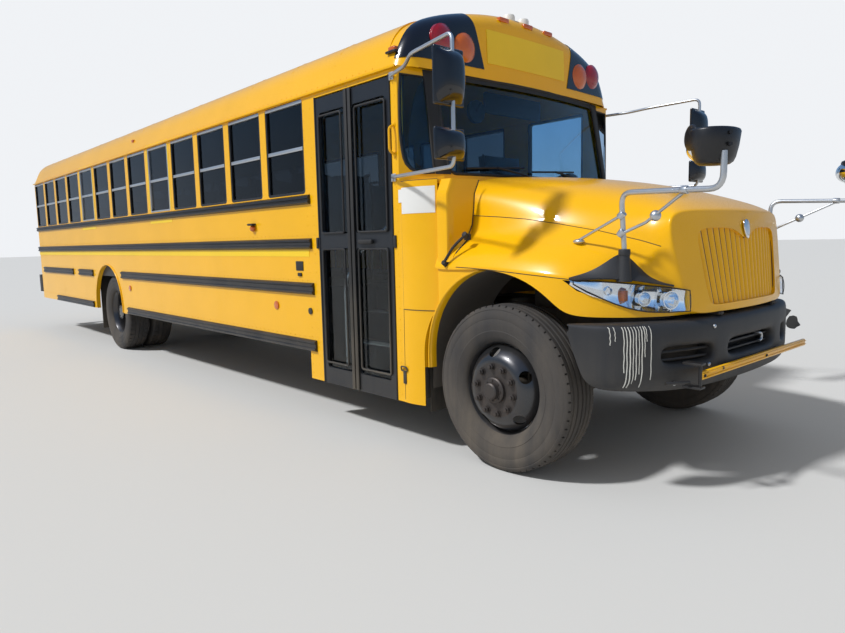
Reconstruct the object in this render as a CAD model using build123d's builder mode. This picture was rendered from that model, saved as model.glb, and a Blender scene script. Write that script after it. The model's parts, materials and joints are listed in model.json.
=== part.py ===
from build123d import *
from math import hypot
import os

# Conventional school bus with a forward-tilting hood, a steel body on a ladder chassis,
# single front wheels that steer and twin rear wheels.
# Lengths are millimetres. +X points forward, +Y to the driver's side and +Z up. The origin
# lies on the ground, under the middle of the vehicle's box.
os.makedirs("parts", exist_ok=True)


def finish(piece, name):
    """Label a finished piece and write it."""
    piece.part.label = name
    export_step(piece.part, f"parts/{name}.step")
    print(name, "solids", len(piece.part.solids()))


# Driving sizes of the vehicle
wheelBase = 7010
bodyWidth = 2438
rearOverhang = 3868
frontAxleX = 4880
skirtBottomZ = 536
floorZ = 1060
gutterZ = 2541
crownZ = 3060
wall = 45
seatingGap = 0.3
pinClearance = 0.05
swingGap = 6


def ahead(distance):
    """Station at a distance ahead of the front axle."""
    return frontAxleX + distance


halfBody = bodyWidth / 2
rearAxleX = frontAxleX - wheelBase
bodyRearX = rearAxleX - rearOverhang
innerHalf = halfBody - wall

# Body stations
doorRearX = ahead(-1782)
doorFrontX = ahead(-865)
postFrontX = ahead(-800)
skirtStepX = ahead(-1966)
skirtStepZ = 310
roofFrontX = ahead(-950)
doorHeadZ = 2500
doorFootZ = 306

# Side windows
windowCount = 13
windowPitch = 690
windowFirstX = ahead(-2245.5)
windowWidth = 590
windowSillZ = 1795
windowHeadZ = 2527
sashWidth = 22
glassThickness = 6
driverWindowX = ahead(-1330)
driverWindowWidth = 640

# Wheels
tyreRadius = 510
tyreWidth = 279
rimRadius = 298
rimWall = 9
hubRadius = 140
frontTrackHalf = 1025
twinOuter = 1025
twinSpacing = 318
spindleRadius = 45
kingpinY = 850
kingpinRadius = 22

# Wheel arches
frontArchRadius = 575
frontArchX = ahead(-20)
frontArchZ = 660
rearArchRadius = 560
rearArchX = rearAxleX - 90
rearArchZ = 605

# Chassis
railHalfGap = 432
railHeight = 250
railTopZ = 930
railWidth = 75
railPlate = 9


def bodyOutline(inset, footZ):
    """Cross-section of body and roof, drawn with Y across and Z up."""
    half = halfBody - inset
    lean = 140
    corner = 350 - inset
    crown = crownZ - inset
    shoulder = 2851 - inset
    with BuildSketch(mode=Mode.PRIVATE) as outline:
        with BuildLine():
            Polyline((half - lean, shoulder), (half - 8, gutterZ), (half - 8, footZ),
                     (8 - half, footZ), (8 - half, gutterZ), (lean - half, shoulder))
            ThreePointArc((lean - half, shoulder), (0, crown), (half - lean, shoulder))
        make_face()
        high = outline.vertices().group_by(Axis.Y)[-1]
        fillet(high, corner)
    return outline.sketch


# Wheels and tyres
def tyre(centreX, centreY):
    """One tyre, revolved about its own axle line."""
    half = tyreWidth / 2
    with BuildPart(mode=Mode.PRIVATE) as ring:
        with BuildSketch(Plane.XY.offset(0)):
            with BuildLine():
                Polyline((rimRadius + seatingGap, -half + 36), (rimRadius + 13, -half + 26), (rimRadius + 30, -half + 12),
                         (rimRadius + 95, -half), (tyreRadius - 45, -half + 10),
                         (tyreRadius - 8, -half + 32), (tyreRadius, -half + 52),
                         (tyreRadius, half - 52), (tyreRadius - 8, half - 32),
                         (tyreRadius - 45, half - 10), (rimRadius + 95, half),
                         (rimRadius + 30, half - 12), (rimRadius + 13, half - 26),
                         (rimRadius + seatingGap, half - 36), (rimRadius + seatingGap, -half + 36))
            make_face()
        revolve(axis=Axis.Y)
    return ring.part.moved(Location((centreX, centreY, tyreRadius)))


def wheel(centreX, centreY, side, dish):
    """One steel wheel: barrel, flanges and a disc set off towards the given side."""
    half = tyreWidth / 2 - 18
    with BuildPart(mode=Mode.PRIVATE) as rim:
        with BuildSketch(Plane.XY):
            with BuildLine():
                Polyline((rimRadius - rimWall, -half), (rimRadius + 12, -half),
                         (rimRadius + 12, -half + 6), (rimRadius, -half + 8),
                         (rimRadius, half - 8), (rimRadius + 12, half - 6),
                         (rimRadius + 12, half), (rimRadius - rimWall, half),
                         (rimRadius - rimWall, -half))
            make_face()
            with BuildLine():
                Polyline((hubRadius - 30, side * dish - 6), (hubRadius + 30, side * dish - 6),
                         (rimRadius - 40, side * (dish - 60) - 6), (rimRadius - 4, side * (dish - 60) - 6),
                         (rimRadius - 4, side * (dish - 60) + 6), (rimRadius - 34, side * (dish - 60) + 6),
                         (hubRadius + 36, side * dish + 6), (hubRadius - 30, side * dish + 6),
                         (hubRadius - 30, side * dish - 6))
            make_face()
        revolve(axis=Axis.Y)
        with BuildSketch(Plane.XZ.offset(-400)):
            with PolarLocations(handHoleCircle, handHoleCount):
                Circle(handHoleRadius)
        extrude(amount=800, mode=Mode.SUBTRACT)
    return rim.part.moved(Location((centreX, centreY, tyreRadius)))


handHoleCircle = 215
handHoleCount = 10
handHoleRadius = 22

with BuildPart() as frontTyre:
    add(tyre(frontAxleX, frontTrackHalf))

with BuildPart() as rearTyres:
    add(tyre(rearAxleX, twinOuter))
    add(tyre(rearAxleX, twinOuter - twinSpacing))

# Front wheel: the disc is dished outwards and carries the hub, its nuts and its cap.
frontDish = 60
nutCircle = 142.9
nutCount = 10
hubInnerY = kingpinY + 75
hubOuterY = frontTrackHalf + frontDish
with BuildPart() as frontWheel:
    add(wheel(frontAxleX, frontTrackHalf, 1, frontDish))
    with BuildSketch(Plane.XZ.offset(-hubInnerY)):
        with Locations((frontAxleX, tyreRadius)):
            Circle(hubRadius - 20)
    extrude(amount=hubInnerY - hubOuterY)
    with BuildSketch(Plane.XZ.offset(-hubOuterY)):
        with Locations((frontAxleX, tyreRadius)):
            Circle(82)
    extrude(amount=-70)
    with BuildSketch(Plane.XZ.offset(-hubOuterY)):
        with Locations((frontAxleX, tyreRadius)):
            with PolarLocations(nutCircle, nutCount):
                RegularPolygon(18, 6)
    extrude(amount=-34)
    with BuildSketch(Plane.XZ.offset(-hubInnerY)):
        with Locations((frontAxleX, tyreRadius)):
            Circle(spindleRadius + pinClearance)
    extrude(amount=-120, mode=Mode.SUBTRACT)

# Rear wheels: two dished discs back to back, so the outer one is deep.
rearDish = 150
rearHubInnerY = twinOuter - twinSpacing - 60
with BuildPart() as rearWheels:
    add(wheel(rearAxleX, twinOuter, -1, rearDish))
    add(wheel(rearAxleX, twinOuter - twinSpacing, 1, rearDish))
    with BuildSketch(Plane.XZ.offset(-rearHubInnerY)):
        with Locations((rearAxleX, tyreRadius)):
            Circle(hubRadius - 10)
    extrude(amount=-(twinSpacing + 10))
    with BuildSketch(Plane.XZ.offset(-rearHubInnerY)):
        with Locations((rearAxleX, tyreRadius)):
            Circle(95)
    extrude(amount=-(twinSpacing + 150))
    with BuildSketch(Plane.XZ.offset(-rearHubInnerY)):
        with Locations((rearAxleX, tyreRadius)):
            with PolarLocations(nutCircle, nutCount):
                RegularPolygon(18, 6)
    extrude(amount=-(twinOuter - rearHubInnerY - rearDish + 40 + 6))
    with BuildSketch(Plane.XZ.offset(-rearHubInnerY)):
        with Locations((rearAxleX, tyreRadius)):
            Circle(spindleRadius + pinClearance)
    extrude(amount=-240, mode=Mode.SUBTRACT)

# Steering knuckle: a fork about the axle's eye, the stub axle and the kingpin.
with BuildPart() as knuckle:
    with BuildSketch(Plane.XY.offset(tyreRadius - 110)):
        with Locations((frontAxleX, kingpinY)):
            Circle(45)
    extrude(amount=220)
    with BuildSketch(Plane.XY.offset(tyreRadius - 60 - seatingGap)):
        with Locations((frontAxleX, kingpinY)):
            Rectangle(110, 110)
    extrude(amount=120 + 2 * seatingGap, mode=Mode.SUBTRACT)
    with BuildSketch(Plane.XY.offset(tyreRadius - 100)):
        with Locations((frontAxleX, kingpinY)):
            Circle(kingpinRadius)
    extrude(amount=200)
    with Locations((frontAxleX, kingpinY + 64, tyreRadius)):
        Box(80, 12, 220)
    for lift in (-85 - seatingGap, 85 + seatingGap):
        with Locations((frontAxleX, kingpinY + 40, tyreRadius + lift)):
            Box(80, 60, 50)
    with BuildSketch(Plane.XZ.offset(-(kingpinY + 64))):
        with Locations((frontAxleX, tyreRadius)):
            Circle(spindleRadius)
    extrude(amount=-115)

wheelPieces = ((frontTyre, "front_tyre"), (rearTyres, "rear_tyres"), (frontWheel, "front_wheel"),
               (rearWheels, "rear_wheels"), (knuckle, "knuckle"))
for piece, name in wheelPieces:
    finish(piece, f"{name}_left")
    with BuildPart() as opposite:
        mirror(piece.part, about=Plane.XZ)
    finish(opposite, f"{name}_right")

# Front axle: a dropped beam between the kingpin eyes.
with BuildPart() as frontAxle:
    for side in (1, -1):
        with BuildSketch(Plane.XY.offset(tyreRadius - 60)):
            with Locations((frontAxleX, side * kingpinY)):
                Circle(42)
            with Locations((frontAxleX, side * kingpinY)):
                Circle(kingpinRadius + pinClearance, mode=Mode.SUBTRACT)
        extrude(amount=120)
        with BuildSketch(Plane.YZ.offset(frontAxleX - 40)):
            with BuildLine():
                Polyline((side * (kingpinY - 38), tyreRadius + 40), (side * 620, tyreRadius - 60),
                         (0, tyreRadius - 60), (0, tyreRadius - 150), (side * 640, tyreRadius - 150),
                         (side * (kingpinY - 38), tyreRadius - 50), (side * (kingpinY - 38), tyreRadius + 40))
            make_face()
        extrude(amount=80)
finish(frontAxle, "front_axle")

# Rear axle: a banjo housing with the tubes that carry the twin wheels.
housingRadius = 190
with BuildPart() as rearAxle:
    with Locations((rearAxleX, 0, tyreRadius)):
        Sphere(housingRadius)
    with BuildSketch(Plane.XZ.offset(-560)):
        with Locations((rearAxleX, tyreRadius)):
            Circle(70)
    extrude(amount=1120)
    with BuildSketch(Plane.XZ.offset(-(twinOuter - twinSpacing - 60 + 170))):
        with Locations((rearAxleX, tyreRadius)):
            Circle(spindleRadius)
    extrude(amount=2 * (twinOuter - twinSpacing - 60 + 170))
finish(rearAxle, "rear_axle")

# Ladder frame: two channel rails, each with a tow eye below its ends and a bracket of the
# hood's pivot, and the cross members between them.
railFrontX = ahead(840)
rearBumperReach = 220
rearBumperPlate = 30
railRearX = bodyRearX - rearBumperReach + rearBumperPlate + seatingGap
hoodPivotX = ahead(975)
hoodPivotZ = 968
pivotPinRadius = 7
pivotY = 380
crossMemberX = (ahead(740), ahead(-1250), ahead(-2500), ahead(-4200), rearAxleX + 900, rearAxleX - 900,
                bodyRearX + 900)
railFootZ = railTopZ - railHeight
memberHeight = 115
towEyeX = (railFrontX - 50, railRearX + 110)
towEyeZ = railFootZ - 40
towEyeY = 405
towEyeRadius = 20
towEyePlate = 20
with BuildPart() as frameRails:
    for side in (1, -1):
        with BuildSketch(Plane.YZ.offset(railRearX)):
            with BuildLine():
                Polyline((side * railHalfGap, railFootZ), (side * railHalfGap, railTopZ),
                         (side * (railHalfGap - railWidth), railTopZ),
                         (side * (railHalfGap - railWidth), railTopZ - railPlate),
                         (side * (railHalfGap - railPlate), railTopZ - railPlate),
                         (side * (railHalfGap - railPlate), railFootZ + railPlate),
                         (side * (railHalfGap - railWidth), railFootZ + railPlate),
                         (side * (railHalfGap - railWidth), railFootZ), (side * railHalfGap, railFootZ))
            make_face()
        extrude(amount=railFrontX - railRearX)
        with BuildSketch(Plane.XZ.offset(-side * pivotY + 8)):
            with BuildLine():
                Polyline((railFrontX - 60, railTopZ - 60), (railFrontX - 60, railTopZ),
                         (hoodPivotX - 60, hoodPivotZ + 9), (hoodPivotX + 9, hoodPivotZ + 9),
                         (hoodPivotX + 9, hoodPivotZ - 9), (hoodPivotX - 90, hoodPivotZ - 12),
                         (railFrontX, railTopZ - 60), (railFrontX - 60, railTopZ - 60))
            make_face()
        extrude(amount=-16)
        with BuildSketch(Plane.XZ.offset(-side * pivotY + side * 30)):
            with Locations((hoodPivotX, hoodPivotZ)):
                Circle(pivotPinRadius)
        extrude(amount=-side * 60)
        for eyeX in towEyeX:
            with BuildSketch(Plane.XZ.offset(-side * towEyeY + towEyePlate / 2)):
                with BuildLine():
                    Polyline((eyeX - 48, railFootZ + 4), (eyeX - 38, towEyeZ - 30), (eyeX - 22, towEyeZ - 42),
                             (eyeX + 22, towEyeZ - 42), (eyeX + 38, towEyeZ - 30), (eyeX + 48, railFootZ + 4),
                             (eyeX - 48, railFootZ + 4))
                make_face()
                with Locations((eyeX, towEyeZ)):
                    Circle(towEyeRadius, mode=Mode.SUBTRACT)
            extrude(amount=-towEyePlate)
finish(frameRails, "frame_rails")

with BuildPart() as crossMembers:
    for memberX in crossMemberX:
        with Locations((memberX, 0, railTopZ - railPlate - seatingGap - memberHeight / 2)):
            Box(60, 2 * (railHalfGap - railPlate - seatingGap), memberHeight)
finish(crossMembers, "cross_members")

# Leaf springs: one stack over each end of each axle, hung from the rails.
springY = 390
springWidth = 76
springStack = 60
springHalf = 700
with BuildPart() as leafSprings:
    for axleX, axleTopZ in ((frontAxleX, tyreRadius - 60), (rearAxleX, tyreRadius + 70)):
        sagZ = axleTopZ + seatingGap
        for side in (1, -1):
            with BuildSketch(Plane.XZ.offset(-side * springY + springWidth / 2)):
                with BuildLine():
                    ThreePointArc((axleX - springHalf, railFootZ - 42), (axleX, sagZ), (axleX + springHalf, railFootZ - 42))
                    Line((axleX + springHalf, railFootZ - 42), (axleX + springHalf, railFootZ - 20))
                    ThreePointArc((axleX + springHalf, railFootZ - 20), (axleX, sagZ + springStack),
                                  (axleX - springHalf, railFootZ - 20))
                    Line((axleX - springHalf, railFootZ - 20), (axleX - springHalf, railFootZ - 42))
                make_face()
            extrude(amount=-springWidth)
            for end in (-1, 1):
                with Locations((axleX + end * (springHalf - 20), side * springY, railFootZ - 22 - seatingGap)):
                    Box(70, springWidth, 44)
finish(leafSprings, "leaf_springs")

# Engine as one plain block with its sump, and the radiator behind the grille.
radiatorTopZ = 1440
with BuildPart() as engine:
    with Locations((ahead(110), 0, 1150)):
        Box(1000, 620, 760)
    with Locations((ahead(60), 0, 690)):
        Box(560, 420, 160)
    with Locations((ahead(740), 0, (railTopZ - railPlate + seatingGap + radiatorTopZ) / 2)):
        Box(90, 700, radiatorTopZ - railTopZ + railPlate - seatingGap)
    with Locations((ahead(650), 0, 1150)):
        Box(100, 200, 200)
    for side in (1, -1):
        with Locations((ahead(200), side * 345, railTopZ + 40)):
            Box(120, 90, 79)
finish(engine, "engine")

# Gearbox and propeller shafts back to the axle housing.
gearboxZ = 800
shaftRadius = 45
shaftBreakX = ahead(-3900)
with BuildPart() as driveline:
    with BuildSketch(Plane.YZ.offset(ahead(-390 - seatingGap))):
        with Locations((0, gearboxZ)):
            Circle(170)
    extrude(amount=-700, taper=3)
    shaftRoute = ((ahead(-1090), gearboxZ - 60), (shaftBreakX, gearboxZ - 90),
                  (rearAxleX + housingRadius + seatingGap, tyreRadius))
    for (fromX, fromZ), (toX, toZ) in zip(shaftRoute, shaftRoute[1:]):
        with BuildSketch(Plane(origin=(fromX, 0, fromZ), z_dir=(toX - fromX, 0, toZ - fromZ))):
            Circle(shaftRadius)
        extrude(amount=hypot(toX - fromX, toZ - fromZ) - 3)
    with Locations((shaftBreakX, 0, gearboxZ - 90)):
        Sphere(75)
finish(driveline, "driveline")

# Fuel tank on the curb side and the exhaust on the driver's side, both hung from the rails.
tankRearX = ahead(-3900)
tankLength = 1500
tankFootZ = 480
with BuildPart() as fuelTank:
    with Locations((tankRearX + tankLength / 2, -(railHalfGap + seatingGap + 300), (tankFootZ + 900) / 2)):
        Box(tankLength, 600, 900 - tankFootZ)
    fillet(fuelTank.edges().filter_by(Axis.X), 60)
finish(fuelTank, "fuel_tank")

pipeRadius = 51
pipeY = 560
pipeZ = 700
with BuildPart() as exhaust:
    with BuildSketch(Plane.YZ.offset(ahead(-900))):
        with Locations((pipeY, pipeZ)):
            Circle(pipeRadius)
    extrude(amount=-1400)
    with BuildSketch(Plane.YZ.offset(ahead(-2300))):
        with Locations((pipeY, pipeZ)):
            Circle(125)
    extrude(amount=-1500)
    for hangerX in (ahead(-1500), ahead(-3000)):
        with Locations((hangerX, (pipeY + railHalfGap + seatingGap) / 2, pipeZ + 60)):
            Box(50, pipeY - railHalfGap - seatingGap, 60)
finish(exhaust, "exhaust")

# Floor with the entrance well and the rear wheel wells cut away.
floorFrontX = ahead(-860)
floorPlate = 50
wellInnerY = 640
wheelWellHalf = 620
wheelWellTopZ = 1190
wheelWellInnerY = 520
wellPlate = 12
wellMiddle = (innerHalf + wheelWellInnerY) / 2
wellWidth = innerHalf - wheelWellInnerY
floorRearX = bodyRearX + wall
with BuildPart() as floor:
    with Locations(((floorRearX + floorFrontX) / 2, 0, floorZ - floorPlate / 2)):
        Box(floorFrontX - floorRearX, 2 * innerHalf, floorPlate)
    with Locations(((doorRearX + floorFrontX) / 2 + 6, -(innerHalf + wellInnerY) / 2, floorZ)):
        Box(floorFrontX - doorRearX + 12, innerHalf - wellInnerY + 2, 3 * floorPlate, mode=Mode.SUBTRACT)
    for side in (1, -1):
        with Locations((rearAxleX, side * wellMiddle, floorZ)):
            Box(2 * wheelWellHalf, wellWidth + 2, 3 * floorPlate, mode=Mode.SUBTRACT)
    for bearerX in (ahead(-1900), ahead(-3300), ahead(-4700), rearAxleX + 1000, rearAxleX - 1000, bodyRearX + 1200):
        with Locations((bearerX, 0, (railTopZ + seatingGap + floorZ - floorPlate) / 2)):
            Box(60, 2 * railHalfGap + 400, floorZ - floorPlate - railTopZ - seatingGap)
finish(floor, "floor")

# Wheel housings: a box over each pair of rear wheels, open below and seated in the floor.
housingHalf = wheelWellHalf - seatingGap
housingFootZ = floorZ - floorPlate
with BuildPart() as wheelHousings:
    for side in (1, -1):
        with Locations((rearAxleX, side * wellMiddle, (housingFootZ + wheelWellTopZ) / 2)):
            Box(2 * housingHalf, wellWidth - 2 * seatingGap, wheelWellTopZ - housingFootZ)
        with Locations((rearAxleX, side * wellMiddle, (housingFootZ + wheelWellTopZ) / 2 - wellPlate)):
            Box(2 * (housingHalf - wellPlate), wellWidth - 2 * wellPlate, wheelWellTopZ - housingFootZ,
                mode=Mode.SUBTRACT)
finish(wheelHousings, "wheel_housings")


# Side walls, each a whole pressed panel with its windows, arch and openings cut. The
# driver's side carries the two lugs of the stop arm's pin.
stopArmX = ahead(-1900)
stopArmZ = 1560
stopArmY = halfBody + 50
stopArmPlate = 8
stopPinHalf = 90
lugPlate = 12


def windowCentres():
    """Stations of the passenger windows, from the front one back."""
    return [windowFirstX - windowPitch * place for place in range(windowCount)]


windowZ = (windowSillZ + windowHeadZ) / 2
windowHeight = windowHeadZ - windowSillZ
sideRearX = bodyRearX + wall
for side, name in ((1, "left"), (-1, "right")):
    with BuildPart() as sideWall:
        with BuildSketch(Plane.XZ.offset(-side * innerHalf)):
            with BuildLine():
                Polyline((sideRearX, skirtBottomZ), (sideRearX, gutterZ), (postFrontX, gutterZ),
                         (postFrontX, skirtStepZ), (skirtStepX, skirtStepZ), (skirtStepX, skirtBottomZ),
                         (sideRearX, skirtBottomZ))
            make_face()
            with Locations([(x, windowZ) for x in windowCentres()]):
                RectangleRounded(windowWidth, windowHeight, 30, mode=Mode.SUBTRACT)
            with Locations((rearArchX, rearArchZ)):
                Circle(rearArchRadius, mode=Mode.SUBTRACT)
                with Locations((0, -150)):
                    Rectangle(2 * rearArchRadius, 300, mode=Mode.SUBTRACT)
            if side > 0:
                with Locations((driverWindowX, windowZ)):
                    RectangleRounded(driverWindowWidth, windowHeight, 30, mode=Mode.SUBTRACT)
            else:
                with Locations(((doorRearX + doorFrontX) / 2, (doorHeadZ + 200) / 2)):
                    Rectangle(doorFrontX - doorRearX, doorHeadZ - 200, mode=Mode.SUBTRACT)
        extrude(amount=-side * wall)
        if side > 0:
            for lift in (-1, 1):
                lugZ = stopArmZ + lift * (stopPinHalf + seatingGap + lugPlate / 2)
                with Locations((stopArmX, (halfBody + stopArmY + 18) / 2, lugZ)):
                    Box(40, stopArmY + 18 - halfBody, lugPlate)
    finish(sideWall, f"{name}_side")

# Roof: the outline with its inner skin taken away, and a framed opening for each hatch.
hatchX = (ahead(-3900), ahead(-8300))
hatchSize = 600
hatchLid = 640
hatchLidPlate = 24
coamingTopZ = crownZ + 10
hatchPinZ = coamingTopZ + 10
hatchPinHalf = hatchLid / 2 + 10
with BuildPart() as roof:
    with BuildSketch(Plane.YZ.offset(sideRearX)):
        add(bodyOutline(0, gutterZ - 1))
        add(bodyOutline(wall, gutterZ - 300), mode=Mode.SUBTRACT)
    extrude(amount=roofFrontX - sideRearX)
    with Locations((0, 0, gutterZ - 10)):
        Box(20000, 4000, 20, mode=Mode.SUBTRACT)
    for middleX in hatchX:
        with Locations((middleX, 0, coamingTopZ - 35)):
            Box(hatchLid, hatchLid, 70)
        for side in (1, -1):
            with Locations((middleX + hatchLid / 2, side * (hatchPinHalf + seatingGap + lugPlate / 2), hatchPinZ - 25)):
                Box(30, lugPlate, 70)
        with Locations((middleX, 0, crownZ)):
            Box(hatchSize, hatchSize, 200, mode=Mode.SUBTRACT)
finish(roof, "roof")

# Rear wall with the emergency door's opening and two windows each side of it.
rearDoorWidth = 960
rearWallFootZ = 945
rearDoorHeadZ = 2500
rearWindowY = 850
rearWindowWidth = 420
with BuildPart() as rearWall:
    with BuildSketch(Plane.YZ.offset(bodyRearX)):
        add(bodyOutline(0, rearWallFootZ))
        with Locations((0, (floorZ + rearDoorHeadZ) / 2)):
            Rectangle(rearDoorWidth, rearDoorHeadZ - floorZ, mode=Mode.SUBTRACT)
        with Locations((rearWindowY, windowZ), (-rearWindowY, windowZ)):
            RectangleRounded(rearWindowWidth, windowHeight - 60, 30, mode=Mode.SUBTRACT)
    extrude(amount=wall)
finish(rearWall, "rear_wall")

# Rear emergency door, hinged on its curb-side edge, with a window in each half.
rearLeafWidth = rearDoorWidth - 2 * swingGap
rearHingeX = bodyRearX - 6
rearHingeY = -rearDoorWidth / 2
rearGlassHeights = ((1180, 500), (1900, 560))
with BuildPart() as rearDoor:
    with BuildSketch(Plane.YZ.offset(bodyRearX)):
        with Locations((0, (floorZ + rearDoorHeadZ) / 2)):
            Rectangle(rearLeafWidth, rearDoorHeadZ - floorZ - 2 * swingGap)
        for footZ, height in rearGlassHeights:
            with Locations((0, footZ + height / 2)):
                RectangleRounded(rearLeafWidth - 180, height, 60, mode=Mode.SUBTRACT)
    extrude(amount=wall - 5)
    with BuildSketch(Plane.XY.offset(floorZ + swingGap)):
        with Locations((rearHingeX, rearHingeY)):
            Circle(4)
        with Locations((rearHingeX + 2, rearHingeY + 14)):
            Rectangle(10, 24)
    extrude(amount=rearDoorHeadZ - floorZ - 2 * swingGap)
finish(rearDoor, "rear_door")

with BuildPart() as rearDoorGlass:
    for footZ, height in rearGlassHeights:
        with BuildSketch(Plane.YZ.offset(bodyRearX + 18)):
            with Locations((0, footZ + height / 2)):
                RectangleRounded(rearLeafWidth - 180, height, 60)
        extrude(amount=glassThickness)
finish(rearDoorGlass, "rear_door_glass")

# Roof hatches: shallow lids that seat on their frames, hinged along their front edges.
for middleX, name in zip(hatchX, ("front", "rear")):
    with BuildPart() as hatch:
        with Locations((middleX, 0, coamingTopZ + seatingGap + hatchLidPlate / 2)):
            Box(hatchLid, hatchLid, hatchLidPlate)
        fillet(hatch.edges().group_by(Axis.Z)[-1], 10)
        with BuildSketch(Plane.XZ.offset(-hatchPinHalf)):
            with Locations((middleX + hatchLid / 2, hatchPinZ)):
                Circle(7)
        extrude(amount=2 * hatchPinHalf)
    finish(hatch, f"{name}_hatch")

# Windshield frame: a raked wrap of panel between the cowl and the cap, lofted from the
# plan at its foot to the plan at its head.
maskFootZ = 1800
pillarY = 970
maskRearX = postFrontX
maskPlans = (  # height, pillar station, centre station
    (maskFootZ, ahead(-625), ahead(-520)),
    (gutterZ, ahead(-770), ahead(-690)),
)


def maskShell(outerInset, innerInset):
    """The wrap between two insets from its outer face."""
    with BuildPart(mode=Mode.PRIVATE) as shell:
        for inset, mode in ((outerInset, Mode.ADD), (innerInset, Mode.SUBTRACT)):
            for height, pillarX, centreX in maskPlans:
                half = halfBody - inset
                with BuildSketch(Plane.XY.offset(height)):
                    with BuildLine():
                        Polyline((pillarX - inset, pillarY), (maskRearX, half), (maskRearX - 30, half),
                                 (maskRearX - 30, -half), (maskRearX, -half), (pillarX - inset, -pillarY))
                        ThreePointArc((pillarX - inset, -pillarY), (centreX - inset, 0), (pillarX - inset, pillarY))
                    make_face()
            loft(ruled=True, mode=mode)
        with Locations((maskRearX - 100, 0, maskFootZ)):
            Box(200, 4000, 2000, mode=Mode.SUBTRACT)
    return shell.part


windshieldHalf = 925
windshieldFootZ = 1850
windshieldHeadZ = 2535
cornerFrontX = ahead(-655)
with BuildPart() as maskOpenings:
    with BuildSketch(Plane.YZ.offset(ahead(-900))):
        with Locations((0, (windshieldFootZ + windshieldHeadZ) / 2)):
            RectangleRounded(2 * windshieldHalf, windshieldHeadZ - windshieldFootZ, 60)
    extrude(amount=600)
    with BuildSketch(Plane.XZ.offset(1300)):
        with BuildLine():
            Polyline((maskRearX + 25, windshieldHeadZ - 45), (maskRearX + 25, windshieldFootZ + 110),
                     (maskRearX + 110, windshieldFootZ), (cornerFrontX, windshieldFootZ),
                     (ahead(-765), windshieldHeadZ - 45), (maskRearX + 25, windshieldHeadZ - 45))
        make_face()
    extrude(amount=-300)
    mirror(about=Plane.XZ)

with BuildPart() as windshieldFrame:
    add(maskShell(0, wall))
    add(maskOpenings.part, mode=Mode.SUBTRACT)
finish(windshieldFrame, "windshield_frame")

# Front cap: the roof's outline carried forward to a face that is bowed in plan.
capFaceX = ahead(-690)
capSideX = ahead(-795)
with BuildPart() as frontCap:
    with BuildSketch(Plane.YZ.offset(roofFrontX)):
        add(bodyOutline(0, gutterZ - 1))
    extrude(amount=capFaceX - roofFrontX)
    with BuildSketch(Plane.XY.offset(gutterZ)):
        with BuildLine():
            Polyline((capSideX, halfBody), (roofFrontX, halfBody), (roofFrontX, -halfBody), (capSideX, -halfBody))
            ThreePointArc((capSideX, -halfBody), (capFaceX, 0), (capSideX, halfBody))
        make_face()
    extrude(amount=800, mode=Mode.INTERSECT)
    with BuildSketch(Plane.YZ.offset(roofFrontX)):
        add(bodyOutline(wall, gutterZ - 300))
    extrude(amount=capSideX - roofFrontX - 5, mode=Mode.SUBTRACT)
finish(frontCap, "front_cap")

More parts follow.
